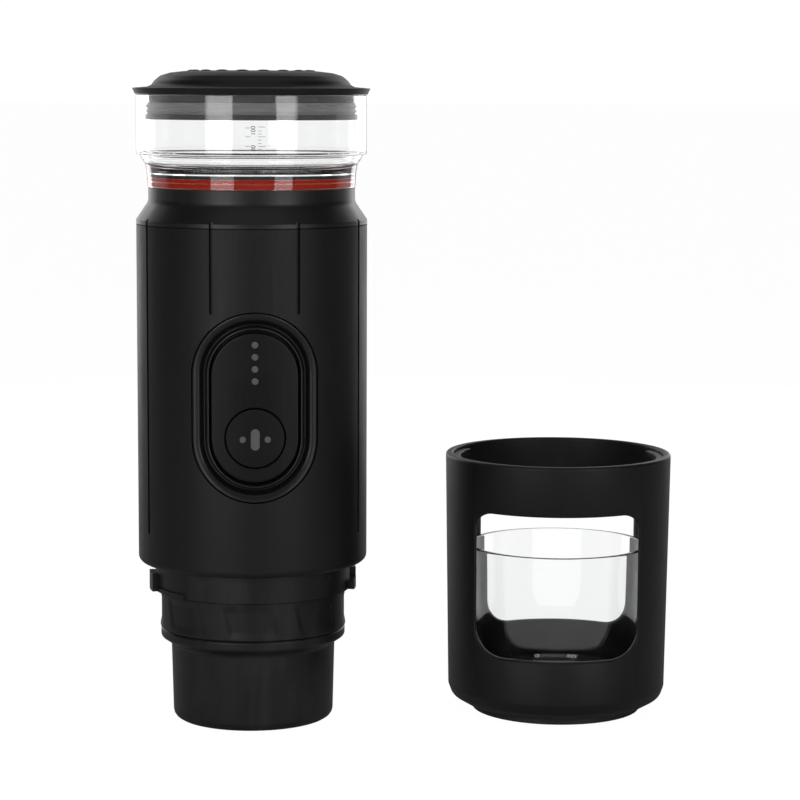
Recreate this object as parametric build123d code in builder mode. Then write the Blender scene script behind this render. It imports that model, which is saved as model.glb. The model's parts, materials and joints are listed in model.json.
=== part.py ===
from build123d import *

import os
from math import acos, asin, cos, degrees, pi, radians, sin, sqrt, tan

# Battery espresso maker with a clear water tank, its cup sleeve and its clear cup.
# Millimetres, +Z up. The machine stands on its outlet cup at the origin, its control panel faces -Y,
# and the sleeve stands beside it at +X with the cup inside. Angles are turned from +X about +Z.

# -------------------------------- clearances
seat_gap = 0.1  # between flat faces of two bodies that rest on each other
seam_gap = 0.2  # visible seam between two outer covers
fit_gap = 0.05  # radial play of a pin, shaft, stub or screw in its hole
slide_gap = 0.3  # play of a piece that lifts, drops or turns past its neighbour

# -------------------------------- outlet cup and filter holder
outlet_base_radius = 25.25
outlet_top_radius = 25.9
outlet_height = 26.6
outlet_wall = 1.9
outlet_floor = 2.4
outlet_corner = 2.4
outlet_hole_radius = 1.0
outlet_hole_circle = 6.0
outlet_hole_count = 6
outlet_flange_radius = 29.1
outlet_flange_thickness = 2.7
outlet_flange_edge = 0.6
outlet_flange_slope = 2.2  # height of the cone below the flange

carrier_wall = 1.8
carrier_reach = 6.6  # how far the carrier's tube goes down into the outlet cup
carrier_lip_thickness = 1.9
carrier_seal_height = 1.5
carrier_seal_thickness = 0.8

basket_wall = 0.4
basket_depth = 14.0
basket_rim_thickness = 0.8
basket_hole_radius = 0.5
basket_hole_rows = (4.0, 8.0, 12.0, 16.0)

ring_radius = 29.3
ring_wall = 1.4
ring_height = 11.9
ring_ledge_thickness = 2.9
ring_lug_thickness = 2.0
ring_lug_sweep = 46.0
ring_pad_count = 8
ring_pad_sweep = 30.0
ring_pad_depth = 0.5
ring_pad_margin = 1.4
ring_pad_turn = -18.0

# -------------------------------- brew head
head_radius = 30.7
head_collar_height = 8.8
head_ledge_sweep = 50.0
head_ledge_thickness = 2.0
head_spigot_radius = 24.5
head_chamber_depth = 1.2
gasket_width = 2.6
gasket_height = 2.5
gasket_proud = 0.8
screen_thickness = 0.5
screen_screw_radius = 1.25
screen_screw_length = 6.0
screen_screw_head_radius = 2.4
screen_screw_head_height = 1.0
screen_boss_radius = 3.0
bayonet_radius = 32.7
bayonet_height = 5.7
bayonet_sweep = 30.0
bayonet_notch = 2.6
bayonet_rib_height = 1.5
bayonet_rib_radius = 31.2
bayonet_rib_sweep = 31.0
valve_radius = 2.4
valve_length = 4.3

# -------------------------------- body shell and collar
body_radius = 36.0
body_wall = 2.4
body_height = 106.0
body_floor = 2.5
body_corner = 2.0
flute_width = 1.2
flute_depth = 1.1
flute_near_angle = 21.4
flute_far_angle = 64.4
flute_end_drop = 10.7  # height of the long flutes' lower ends above the shell's lower edge
flute_panel_gap = 4.5  # from the panel's edge up to the short flutes' lower ends
collar_height = 11.2
collar_edge = 1.3
collar_shoulder = 3.8  # from the body's side in to the collar's neck
collar_neck_height = 4.3
collar_neck_rounding = 3.0
collar_skirt_depth = 8.5
collar_skirt_wall = 2.6
collar_screw_angles = (0, 180, 270)
collar_screw_radius = 1.25
collar_screw_grip = 6.0
collar_boss_radius = 2.6

# -------------------------------- tank, gasket and lid
tank_inset = 0.15  # from the body's side in to the tank's
tank_wall = 2.6
tank_height = 28.5
tank_neck_proud = 0.1  # of the tank's skirt past the collar's neck
tank_skirt_wall = 1.0
tank_shelf_height = 10.2  # from the tank's lower edge up to the step where it widens
tank_step = 1.0
tank_spigot_wall = 1.5
tank_spigot_depth = 7.3
seal_height = 3.1
seal_groove = 0.45
lid_overhang = 1.15  # of the lid's flange past the tank
lid_flange_height = 1.9
lid_flange_width = 4.6
lid_height = 7.5
lid_crown_drop = 0.6
lid_wall = 2.0
lid_neck_height = 2.5
lid_seal_height = 3.5
lid_seal_inset = 1.0
lid_plug_height = 1.6
lid_pip_radius = 1.6
lid_pip_height = 0.6
lid_pip_count = 18
lid_pip_inset = 13.9

# -------------------------------- heating cup
heater_cup_inset = 5.2  # from the collar's neck in to the cup's bore
heater_cup_wall = 1.0
heater_cup_depth = 19.5
heater_radius = 16.8
heater_thickness = 3.3
probe_radius = 2.0
fuse_radius = 1.6
fuse_length = 9.0
cup_outlet_flange = 3.0
strainer_radius = 4.0
strainer_height = 2.5

# -------------------------------- pump, motor and tubes
pump_axis_y = -10.0
gear_module = 0.7
gear_teeth = 12
gear_pressure_angle = 25.0
gear_width = 5.0
gear_backlash = 0.05
gear_centre_slack = 0.05
gear_side_gap = 0.1
pump_half_width = 8.0
pump_wall = 3.6
pump_floor = 1.6
pump_cover_thickness = 2.5
pump_rise = 11.0  # from the brew head's top up to the pump
shaft_radius = 1.0
motor_radius = 12.0
motor_length = 31.0
motor_boss_depth = 6.0
motor_hub_height = 2.0
pump_screw_radius = 1.0
pump_screw_head_radius = 1.9
pump_screw_head_height = 1.3
pump_screw_inset = 2.1
tube_radius = 2.2
tube_bore = 1.35
tube_bend = 4.4
tube_stub_length = 1.2
lead_radius = 0.8
lead_bend = 3.0

# -------------------------------- inner frame, battery and boards
frame_plate = 2.0
frame_spine_width = 14.0
frame_spine_thickness = 2.5
frame_gap = 0.4  # radial play of the frame's plates inside the shell
frame_screw_edge = 2.4  # from the brew head's side in to the screws' middles
frame_screw_radius = 1.5
frame_screw_grip = 6.8  # length of shank inside the brew head
frame_screw_head_radius = 2.6
frame_screw_head_height = 2.0
cell_radius = 9.2
cell_rise = 10.8  # from the charge board's top up to the cells
cell_wall_gap = 2.4  # between the cells and the shell's wall
cell_spacing = 3.6  # between two cells
cradle_wall = 1.0
cradle_depth = 2.6
cradle_end = 2.4
strap_thickness = 0.3
strap_width = 6.0
board_thickness = 1.6
main_board_x = 22.0
main_board_width = 20.5
main_board_front = -20.0
charge_board_rise = 3.4
charge_board_width = 18.0
charge_board_length = 15.0
usb_width = 8.94
usb_height = 3.26
usb_length = 7.3
usb_wall = 0.35
usb_tongue_width = 6.6
usb_tongue_thickness = 0.7

# -------------------------------- charge port cover
port_half_width = 7.4
port_depth = 2.7
port_below = 6.0
port_above = 4.2
port_boss_wall = 2.0
hinge_pin_radius = 0.5
hinge_barrel_radius = 0.9
hinge_rise = 1.8

# -------------------------------- control panel
panel_width = 38.4
panel_length = 58.1
panel_centre_drop = 0.8  # below the middle of the shell
panel_rim = 1.0
panel_ridge_inset = 4.75
panel_valley_depth = 1.8
panel_depth = 7.0
panel_wall = 1.2  # behind and beside the valley
plate_inset = 5.9
plate_depth = 4.8
plate_crown_radius = 60.0
plate_crown_drop = 1.4
panel_ledge = 2.0
light_radius = 1.0
light_pitch = 3.67
light_bar_thickness = 1.0
light_top_rise = 19.1  # above the panel's centre
button_radius = 9.05
button_drop = 9.25  # below the panel's centre
button_flange = 1.0
button_travel = 0.7
button_flange_thickness = 0.8
pill_width = 2.65
pill_length = 6.5
pill_drop = 0.4  # below the button's centre
dot_radius = 0.95
dot_offset = 3.77
control_board_depth = 8.2
control_board_width = 20.0
control_board_length = 45.0
switch_side = 6.0
plunger_radius = 1.7
led_side = 1.6
led_height = 0.8
board_screw_radius = 0.8
board_screw_head_radius = 1.6
board_screw_x = 8.0
board_screw_z = 20.5  # above and below the panel's centre
board_boss_radius = 1.9

# -------------------------------- cup sleeve and cup
sleeve_place = (97.97, 5.20)
sleeve_turn = -7.93
sleeve_top_radius = 36.0
sleeve_base_radius = 34.8
sleeve_height = 82.9
sleeve_wall = 2.4
sleeve_floor = 3.0
sleeve_corner_height = 5.5
sleeve_underside_radius = 29.5
sleeve_rail_thickness = 2.0
sleeve_rail_drop = 1.1
sleeve_rail_reach = 2.3
sleeve_rail_sweep = 50.0
foot_radius = 26.9
foot_height = 2.2
foot_bore = 18.0
window_half_width = 25.2
window_bottom = 21.7
window_top = 67.1
window_lower_corner = 8.5
window_upper_corner = 5.0
cup_rim_radius = 29.0
cup_base_radius = 26.6
cup_height = 47.5
cup_wall = 1.8
cup_base = 4.0
cup_corner = 6.0

# -------------------------------- heights worked out from the sizes above
flange_bottom = outlet_height
flange_top = flange_bottom + outlet_flange_thickness
ring_bottom = flange_top + seat_gap
ring_top = ring_bottom + ring_height
ledge_top = ring_bottom + ring_ledge_thickness
lip_bottom = ledge_top + slide_gap
lip_top = lip_bottom + carrier_lip_thickness
basket_rim_bottom = lip_top + seat_gap
basket_rim_top = basket_rim_bottom + basket_rim_thickness
gasket_bottom = basket_rim_top + seat_gap
hub_bottom = gasket_bottom + gasket_proud
head_ledge_top = hub_bottom + head_ledge_thickness
ring_lug_bottom = head_ledge_top + slide_gap
head_bottom = ring_top + seam_gap
shell_bottom = head_bottom + head_collar_height
shell_top = shell_bottom + body_height
shell_floor_top = shell_bottom + body_floor
frame_base_top = shell_floor_top + frame_plate
head_top = frame_base_top + 1.2
collar_bottom = shell_top + seam_gap
collar_top = collar_bottom + collar_height
cup_rim_top = collar_top - seam_gap
cup_rim_bottom = cup_rim_top - heater_cup_wall
heater_cup_floor = cup_rim_top - heater_cup_depth
heater_top = heater_cup_floor - heater_cup_wall
heater_bottom = heater_top - heater_thickness
frame_top = heater_bottom - 2 * fuse_radius
frame_top_bottom = frame_top - frame_plate
cell_top = frame_top_bottom - cradle_end - strap_thickness
tank_bottom = collar_top + seat_gap
tank_top = tank_bottom + tank_height
tank_shelf = tank_bottom + tank_shelf_height
seal_top = cup_rim_top + seal_height
lid_bottom = tank_top + seat_gap
lid_flange_top = lid_bottom + lid_flange_height
lid_top = lid_bottom + lid_height
lid_seal_top = lid_bottom - lid_neck_height
lid_seal_bottom = lid_seal_top - lid_seal_height
lid_plug_bottom = lid_seal_bottom - lid_plug_height
pump_bottom = head_top + pump_rise
gear_bottom = pump_bottom + pump_floor + gear_side_gap
gear_top = gear_bottom + gear_width
pump_top = gear_top + gear_side_gap
cover_top = pump_top + pump_cover_thickness
motor_top = cover_top + motor_length
tube_height = (gear_bottom + gear_top) / 2
charge_board_top = frame_base_top + charge_board_rise + board_thickness
cell_bottom = charge_board_top + cell_rise
lower_cradle_bottom = cell_bottom - strap_thickness - cradle_end
port_height = charge_board_top + usb_height / 2
hinge_height = port_height - port_below + hinge_rise
panel_centre = (shell_bottom + shell_top) / 2 - panel_centre_drop
button_centre = panel_centre - button_drop
pill_centre = button_centre - pill_drop

# -------------------------------- radii and places worked out
body_bore = body_radius - body_wall
collar_neck_radius = body_radius - collar_shoulder
heater_cup_radius = collar_neck_radius - heater_cup_inset
tank_radius = body_radius - tank_inset
tank_neck_radius = collar_neck_radius + tank_neck_proud
lid_radius = tank_radius + lid_overhang
lid_dome_radius = lid_radius - lid_flange_width
lid_pip_circle = lid_dome_radius - lid_pip_inset
frame_screw_circle = head_radius - frame_screw_edge
outlet_bore = outlet_top_radius - outlet_wall
carrier_radius = outlet_bore - 2 * fit_gap
carrier_bore = carrier_radius - carrier_wall
basket_radius = carrier_bore - slide_gap
basket_bore = basket_radius - basket_wall
ring_bore = ring_radius - ring_wall
ledge_bore = carrier_radius + slide_gap
gasket_bore = basket_bore + 1.0
gasket_radius = gasket_bore + gasket_width
hub_radius = gasket_radius + 0.7
ring_lug_bore = hub_radius + slide_gap
head_ledge_radius = ring_bore - slide_gap - 0.1
gear_pitch_radius = gear_module * gear_teeth / 2
gear_base_radius = gear_pitch_radius * cos(radians(gear_pressure_angle))
gear_tip_radius = gear_pitch_radius + 0.9 * gear_module
gear_root_radius = gear_pitch_radius - 1.2 * gear_module
idler_axis_y = pump_axis_y - 2 * gear_pitch_radius - gear_centre_slack
tube_axis_y = (pump_axis_y + idler_axis_y) / 2
pump_pocket_radius = gear_tip_radius + gear_side_gap
pump_back = pump_axis_y + pump_pocket_radius + pump_wall
pump_front = idler_axis_y - pump_pocket_radius - pump_wall
delivery_x = pump_half_width + tube_stub_length + tube_bend
suction_x = -delivery_x - 3.4
frame_radius = body_bore - frame_gap
spine_front = pump_axis_y + motor_radius + 1.5
spine_back = spine_front + frame_spine_thickness
cell_circle = body_bore - cell_wall_gap - cell_radius
cell_step = 2 * degrees(asin((cell_radius + cell_spacing / 2) / cell_circle))
cell_angles = [90 + i * cell_step for i in (-1, 0, 1)]
cell_places = [(cell_circle * cos(radians(a)), cell_circle * sin(radians(a))) for a in cell_angles]
port_floor = body_radius - port_depth
hinge_y = port_floor + slide_gap + hinge_barrel_radius
usb_mouth = port_floor - seam_gap
panel_back = body_radius - panel_depth
panel_valley_edge = sqrt((body_radius - panel_valley_depth) ** 2 - (panel_width / 2 - panel_rim) ** 2)
panel_rim_back = panel_valley_edge - panel_wall
plate_back = body_radius - plate_depth
plate_front = body_radius - plate_crown_drop
plate_width = panel_width - 2 * plate_inset
plate_length = panel_length - 2 * 6.25
crown_axis_y = plate_crown_radius - plate_front
board_front = body_radius - control_board_depth
sleeve_bore = sleeve_top_radius - sleeve_wall
sleeve_floor_top = foot_height + sleeve_floor
cup_bottom = sleeve_floor_top + slide_gap

board_screw_places = [
    (x, panel_centre + z) for x in (-board_screw_x, board_screw_x) for z in (-board_screw_z, board_screw_z)
]

UPRIGHT = (Align.CENTER, Align.CENTER, Align.MIN)
sleeve_x = (cos(radians(sleeve_turn)), sin(radians(sleeve_turn)), 0)
sleeve_plane = Plane(origin=(*sleeve_place, 0), x_dir=sleeve_x)


# -------------------------------- shapes used again and again
def turned(*outline, about=Plane.XY, mode=Mode.ADD):
    """Turn a closed outline of (radius, height) corners about the upright axis of a plane."""
    upright = Plane(origin=about.origin, x_dir=about.x_dir, z_dir=-about.y_dir)
    with BuildSketch(upright) as section:
        with BuildLine():
            Polyline(*outline, close=True)
        make_face()
    revolve(section.sketch, axis=Axis(about.origin, (0, 0, 1)), mode=mode)


def ring(bore, radius, bottom, top, mode=Mode.ADD):
    """A plain ring or, with no bore, a disc on the machine's axis."""
    with BuildSketch(Plane.XY.offset(bottom)) as section:
        Circle(radius)
        if bore:
            Circle(bore, mode=Mode.SUBTRACT)
    extrude(section.sketch, amount=top - bottom, mode=mode)


def post(centre, radius, bottom, top, mode=Mode.ADD):
    """An upright round post, or with Mode.SUBTRACT a hole, at an (x, y) place."""
    with Locations((centre[0], centre[1], bottom)):
        Cylinder(radius, top - bottom, align=UPRIGHT, mode=mode)


def block(x_span, y_span, z_span, mode=Mode.ADD):
    """A box between two ends along each axis."""
    ends = (x_span, y_span, z_span)
    with Locations(tuple((low + high) / 2 for low, high in ends)):
        Box(*(abs(high - low) for low, high in ends), mode=mode)


def rod_along_x(radius, x_span, y, z, mode=Mode.ADD):
    """A round rod that lies along X."""
    with BuildSketch(Plane.YZ.offset(x_span[0])) as section:
        with Locations((y, z)):
            Circle(radius)
    extrude(section.sketch, amount=x_span[1] - x_span[0], mode=mode)


def rod_to_front(radius, x, z, back, front, mode=Mode.ADD):
    """A round rod that points at the panel's side, between two distances in front of the axis."""
    with BuildSketch(Plane.XZ.offset(back)) as section:
        with Locations((x, z)):
            Circle(radius)
    extrude(section.sketch, amount=front - back, mode=mode)


def stadium(width, length, back, front, mode=Mode.ADD):
    """An upright stadium-shaped slab on the panel's centre, between two distances in front of the axis."""
    with BuildSketch(Plane.XZ.offset(back)) as section:
        with Locations((0, panel_centre)):
            SlotOverall(length, width, rotation=90)
    extrude(section.sketch, amount=front - back, mode=mode)


def arc_band(bore, radius, bottom, top, start, sweep, mode=Mode.ADD):
    """A stretch of a ring, from a start angle over a sweep in degrees."""
    turn = radians(start)
    section_plane = Plane(origin=(0, 0, 0), x_dir=(cos(turn), sin(turn), 0), z_dir=(sin(turn), -cos(turn), 0))
    with BuildSketch(section_plane) as section:
        with Locations(((bore + radius) / 2, (bottom + top) / 2)):
            Rectangle(radius - bore, top - bottom)
    revolve(section.sketch, axis=Axis.Z, revolution_arc=sweep, mode=mode)


def flutes(angles, bottom, top):
    """Cut upright grooves into the outside of the body."""
    for angle in angles:
        with Locations(Location((0, 0, (bottom + top) / 2), (0, 0, angle))):
            with Locations((body_radius, 0, 0)):
                Box(2 * flute_depth, flute_width, top - bottom, mode=Mode.SUBTRACT)


def tube(path_points, bend, outer, bore):
    """A round tube, or with no bore a wire, along straight runs joined by tangent bends."""
    with BuildLine() as path:
        FilletPolyline(*path_points, radius=bend)
    start = path.line @ 0
    with BuildSketch(Plane(origin=start, z_dir=path.line % 0)) as section:
        Circle(outer)
        if bore:
            Circle(bore, mode=Mode.SUBTRACT)
    sweep(section.sketch, path=path.line)


def gear(centre, first_tooth_angle, bore):
    """A spur gear with involute flanks thinned for backlash, one tooth pointing at the given angle."""
    def rolled(radius):
        angle = acos(min(1.0, gear_base_radius / radius))
        return tan(angle) - angle

    half_tooth = pi / (2 * gear_teeth) - gear_backlash / gear_pitch_radius + rolled(gear_pitch_radius)
    flank = []
    for step in range(5):
        radius = gear_base_radius + (gear_tip_radius - gear_base_radius) * step / 4
        flank.append((radius, half_tooth - rolled(radius)))
    right = [(r * cos(a), r * sin(a)) for r, a in flank]
    left = [(x, -y) for x, y in right]
    inner_right = (0.8 * gear_root_radius * cos(half_tooth), 0.8 * gear_root_radius * sin(half_tooth))
    inner_left = (inner_right[0], -inner_right[1])
    with BuildSketch() as tooth:
        with BuildLine():
            Spline(*right)
            Spline(*left)
            ThreePointArc(right[-1], (gear_tip_radius, 0), left[-1])
            Polyline(right[0], inner_right, inner_left, left[0])
        make_face()
    with BuildSketch(Plane((*centre, gear_bottom))) as section:
        Circle(gear_root_radius)
        with PolarLocations(0, gear_teeth, start_angle=first_tooth_angle):
            add(tooth.sketch)
        Circle(bore, mode=Mode.SUBTRACT)
    extrude(section.sketch, amount=gear_width)


def screws(places, shank_radius, shank_bottom, seat, head_radius_, head_height):
    """Identical upright screws with round heads on top and a drive recess."""
    for place in places:
        post(place, shank_radius, shank_bottom, seat)
        post(place, head_radius_, seat, seat + head_height)
        with Locations((*place, seat + head_height)):
            Cylinder(0.45 * head_radius_, head_height, mode=Mode.SUBTRACT)


def polar(radius, angles):
    """Places on a circle about the machine's axis."""
    return [(radius * cos(radians(angle)), radius * sin(radians(angle))) for angle in angles]


os.makedirs("parts", exist_ok=True)

# ================================ filter holder
# -------------------------------- outlet cup: stands on the table
with BuildPart() as outlet_cup:
    turned(
        (0, 0),
        (outlet_base_radius, 0),
        (outlet_top_radius, flange_bottom - outlet_flange_slope),
        (outlet_flange_radius - outlet_flange_edge, flange_bottom),
        (outlet_flange_radius, flange_bottom + outlet_flange_edge),
        (outlet_flange_radius, flange_top),
        (outlet_bore, flange_top),
        (outlet_bore, lip_bottom - carrier_reach - 6.0),
        (outlet_base_radius - outlet_wall, outlet_floor),
        (0, outlet_floor),
    )
    base_edge = outlet_cup.edges().filter_by(GeomType.CIRCLE).group_by(Axis.Z)[0].sort_by(SortBy.RADIUS)[-1]
    fillet(base_edge, radius=outlet_corner)
    with PolarLocations(outlet_hole_circle, outlet_hole_count):
        Cylinder(outlet_hole_radius, 3 * outlet_floor, mode=Mode.SUBTRACT)
outlet_cup.part.label = "outlet_cup"
export_step(outlet_cup.part, "parts/outlet_cup.step")

# -------------------------------- carrier: tube that holds the basket and traps the ring
carrier_bottom = flange_bottom - carrier_reach
carrier_seal_bottom = carrier_bottom + 1.5
notch_sweep = ring_lug_sweep + 8
with BuildPart() as basket_carrier:
    turned(
        (carrier_bore, carrier_bottom),
        (carrier_radius, carrier_bottom),
        (carrier_radius, lip_bottom),
        (ring_bore - 2 * slide_gap, lip_bottom),
        (ring_bore - 2 * slide_gap, lip_top),
        (carrier_bore, lip_top),
    )
    for angle in (0, 120, 240):
        arc_band(
            ring_lug_bore - slide_gap,
            ring_radius,
            lip_bottom - slide_gap,
            lip_top + slide_gap,
            angle - notch_sweep / 2,
            notch_sweep,
            mode=Mode.SUBTRACT,
        )
    ring(
        carrier_radius - carrier_seal_thickness,
        outlet_bore,
        carrier_seal_bottom,
        carrier_seal_bottom + carrier_seal_height,
        mode=Mode.SUBTRACT,
    )
basket_carrier.part.label = "basket_carrier"
export_step(basket_carrier.part, "parts/basket_carrier.step")

with BuildPart() as carrier_seal:
    ring(
        carrier_radius - carrier_seal_thickness,
        outlet_bore - fit_gap,
        carrier_seal_bottom,
        carrier_seal_bottom + carrier_seal_height,
    )
carrier_seal.part.label = "carrier_seal"
export_step(carrier_seal.part, "parts/carrier_seal.step")

# -------------------------------- filter basket: pressed steel with a perforated floor
basket_bottom = basket_rim_top - basket_depth - basket_wall
with BuildPart() as filter_basket:
    turned(
        (0, basket_bottom),
        (basket_radius, basket_bottom),
        (basket_radius, basket_rim_bottom),
        (hub_radius, basket_rim_bottom),
        (hub_radius, basket_rim_top),
        (basket_bore, basket_rim_top),
        (basket_bore, basket_bottom + basket_wall),
        (0, basket_bottom + basket_wall),
    )
    for row_radius in basket_hole_rows:
        with PolarLocations(row_radius, round(1.6 * row_radius)):
            with Locations((0, 0, basket_bottom)):
                Cylinder(basket_hole_radius, 4 * basket_wall, mode=Mode.SUBTRACT)
filter_basket.part.label = "filter_basket"
export_step(filter_basket.part, "parts/filter_basket.step")

# -------------------------------- lock ring with grip pads and three inner lugs
ring_lug_top = ring_lug_bottom + ring_lug_thickness
lug_angles = (0, 120, 240)
with BuildPart() as lock_ring:
    turned(
        (ledge_bore, ring_bottom),
        (ring_radius, ring_bottom),
        (ring_radius, ring_top),
        (ring_bore, ring_top),
        (ring_bore, ledge_top),
        (ledge_bore, ledge_top),
    )
    for angle in lug_angles:
        arc_band(
            ring_lug_bore,
            ring_bore + ring_wall / 2,
            ring_lug_bottom,
            ring_lug_top,
            angle - ring_lug_sweep / 2,
            ring_lug_sweep,
        )
    for pad in range(ring_pad_count):
        arc_band(
            ring_radius - ring_pad_depth,
            ring_radius + ring_pad_depth,
            ring_bottom + ring_pad_margin,
            ring_top - ring_pad_margin,
            270 + ring_pad_turn + pad * 360 / ring_pad_count,
            ring_pad_sweep,
            mode=Mode.SUBTRACT,
        )
lock_ring.part.label = "lock_ring"
export_step(lock_ring.part, "parts/lock_ring.step")

# ================================ brew head
inlet_place = (delivery_x, tube_axis_y)
frame_screw_places = polar(frame_screw_circle, (45, 135, 225, 315))
frame_screw_bottom = shell_bottom - frame_screw_grip
valve_bottom = head_top - valve_length - 0.3
with BuildPart() as brew_head:
    ring(0, hub_radius, hub_bottom, head_bottom)
    ring(0, head_radius, head_bottom, shell_bottom)
    ring(0, head_spigot_radius, shell_bottom, head_top)
    for angle in lug_angles:
        arc_band(
            hub_radius - 1,
            head_ledge_radius,
            hub_bottom,
            head_ledge_top,
            angle + 60 - head_ledge_sweep / 2,
            head_ledge_sweep,
        )
    for side in (0, 180):
        # each bayonet lug is a low band with a higher stop on its trailing half, and a thin rib beside it
        lug_start = side - bayonet_sweep / 2
        arc_band(head_radius - 1, bayonet_radius, head_bottom, head_bottom + bayonet_height - bayonet_notch,
                 lug_start, bayonet_sweep)
        arc_band(head_radius - 1, bayonet_radius, head_bottom + bayonet_height - bayonet_notch - 0.5,
                 head_bottom + bayonet_height, lug_start + bayonet_sweep / 2, bayonet_sweep / 2)
        arc_band(head_radius - 1, bayonet_rib_radius, head_bottom, head_bottom + bayonet_rib_height,
                 side + bayonet_sweep / 2 - 1, bayonet_rib_sweep)
    # gasket groove, water chamber above the screen, inlet bore with the valve's seat, screw holes
    ring(gasket_bore, gasket_radius, hub_bottom - 1, gasket_bottom + gasket_height, mode=Mode.SUBTRACT)
    ring(0, gasket_bore - 1.2, hub_bottom - 1, hub_bottom + head_chamber_depth, mode=Mode.SUBTRACT)
    ring(0, screen_boss_radius, hub_bottom, hub_bottom + 2 * head_chamber_depth)
    post((0, 0), screen_screw_radius + fit_gap, hub_bottom - 1, hub_bottom + screen_screw_length + 1,
         mode=Mode.SUBTRACT)
    post(inlet_place, tube_bore, hub_bottom, head_top + 1, mode=Mode.SUBTRACT)
    post(inlet_place, valve_radius + fit_gap, valve_bottom, head_top + 1, mode=Mode.SUBTRACT)
    for place in frame_screw_places:
        post(place, frame_screw_radius + fit_gap, frame_screw_bottom - 0.5, shell_bottom + 1,
             mode=Mode.SUBTRACT)
brew_head.part.label = "brew_head"
export_step(brew_head.part, "parts/brew_head.step")

with BuildPart() as head_inlet:
    post(inlet_place, valve_radius + 1.4, head_top, head_top + 1.0)
    post(inlet_place, tube_bore - fit_gap, head_top, head_top + 5.0)
    post(inlet_place, 0.7, head_top - 1, head_top + 6.0, mode=Mode.SUBTRACT)
head_inlet.part.label = "head_inlet"
export_step(head_inlet.part, "parts/head_inlet.step")

with BuildPart() as check_valve:
    post(inlet_place, valve_radius, valve_bottom, valve_bottom + valve_length)
    post(inlet_place, 0.9, valve_bottom + 1.0, valve_bottom + valve_length + 1, mode=Mode.SUBTRACT)
    block(
        (inlet_place[0] - 0.9, inlet_place[0] + 0.9),
        (inlet_place[1] - 0.15, inlet_place[1] + 0.15),
        (valve_bottom - 1, valve_bottom + 2),
        mode=Mode.SUBTRACT,
    )
check_valve.part.label = "check_valve"
export_step(check_valve.part, "parts/check_valve.step")

with BuildPart() as head_gasket:
    ring(gasket_bore, gasket_radius, gasket_bottom, gasket_bottom + gasket_height)
head_gasket.part.label = "head_gasket"
export_step(head_gasket.part, "parts/head_gasket.step")

screen_radius = gasket_bore - 0.3
with BuildPart() as shower_screen:
    ring(0, screen_radius, hub_bottom - screen_thickness, hub_bottom)
    for row_radius in basket_hole_rows:
        with PolarLocations(row_radius + 1.5, round(1.4 * row_radius)):
            with Locations((0, 0, hub_bottom)):
                Cylinder(basket_hole_radius, 4 * screen_thickness, mode=Mode.SUBTRACT)
    post((0, 0), screen_screw_radius + fit_gap, hub_bottom - 1, hub_bottom + 1, mode=Mode.SUBTRACT)
shower_screen.part.label = "shower_screen"
export_step(shower_screen.part, "parts/shower_screen.step")

with BuildPart() as shower_screw:
    screw_seat = hub_bottom - screen_thickness
    post((0, 0), screen_screw_head_radius, screw_seat - screen_screw_head_height, screw_seat)
    post((0, 0), screen_screw_radius, screw_seat, hub_bottom + screen_screw_length)
    block((-0.8 * screen_screw_head_radius, 0.8 * screen_screw_head_radius), (-0.3, 0.3),
          (screw_seat - 2 * screen_screw_head_height, screw_seat - 0.5 * screen_screw_head_height),
          mode=Mode.SUBTRACT)
shower_screw.part.label = "shower_screw"
export_step(shower_screw.part, "parts/shower_screw.step")

# ================================ machine body
# -------------------------------- body shell
long_flutes = [270 - flute_far_angle, 270 + flute_far_angle]
long_flutes += [90 + side * angle for side in (-1, 1) for angle in (flute_near_angle, flute_far_angle)]
short_flutes = [270 - flute_near_angle, 270 + flute_near_angle]
flute_side = body_radius * sin(radians(flute_near_angle))
panel_cap_radius = panel_width / 2
panel_cap_height = panel_centre + panel_length / 2 - panel_cap_radius
short_flute_bottom = panel_cap_height + sqrt(panel_cap_radius**2 - flute_side**2) + flute_panel_gap
pocket_bottom = port_height - port_below
pocket_top = port_height + port_above
with BuildPart() as port_boss:
    block(
        (-port_half_width - port_boss_wall, port_half_width + port_boss_wall),
        (port_floor - port_boss_wall, body_radius),
        (frame_base_top + slide_gap, pocket_top + port_boss_wall),
    )
    with Locations((0, 0, shell_bottom)):
        Cylinder(body_radius - body_wall / 2, body_height, align=UPRIGHT, mode=Mode.INTERSECT)

with BuildPart() as body_shell:
    turned(
        (head_spigot_radius + seam_gap, shell_bottom),
        (body_radius, shell_bottom),
        (body_radius, shell_top),
        (body_bore, shell_top),
        (body_bore, shell_floor_top),
        (head_spigot_radius + seam_gap, shell_floor_top),
    )
    lower_edge = body_shell.edges().filter_by(GeomType.CIRCLE).group_by(Axis.Z)[0].sort_by(SortBy.RADIUS)[-1]
    fillet(lower_edge, radius=body_corner)
    # thickening behind the charge port, then its pocket, the socket's hole and the hinge pin's hole
    add(port_boss.part)
    block((-port_half_width, port_half_width), (port_floor, body_radius + 1), (pocket_bottom, pocket_top),
          mode=Mode.SUBTRACT)
    socket_half_width = usb_width / 2 + seam_gap
    socket_half_height = usb_height / 2 + seam_gap
    block((-socket_half_width, socket_half_width), (port_floor - 2 * port_boss_wall, body_radius),
          (port_height - socket_half_height, port_height + socket_half_height), mode=Mode.SUBTRACT)
    rod_along_x(hinge_pin_radius + fit_gap / 2, (-port_half_width - 0.8, port_half_width + 0.8), hinge_y,
                hinge_height, mode=Mode.SUBTRACT)
    stadium(panel_width, panel_length, panel_back - 4, body_radius + 1, mode=Mode.SUBTRACT)
    for place in frame_screw_places:
        post(place, frame_screw_radius + fit_gap, shell_bottom - 1, shell_floor_top + 1, mode=Mode.SUBTRACT)
    flutes(long_flutes, shell_bottom + flute_end_drop, shell_top + 1)
    flutes(short_flutes, short_flute_bottom, shell_top + 1)
body_shell.part.label = "body_shell"
export_step(body_shell.part, "parts/body_shell.step")

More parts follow.
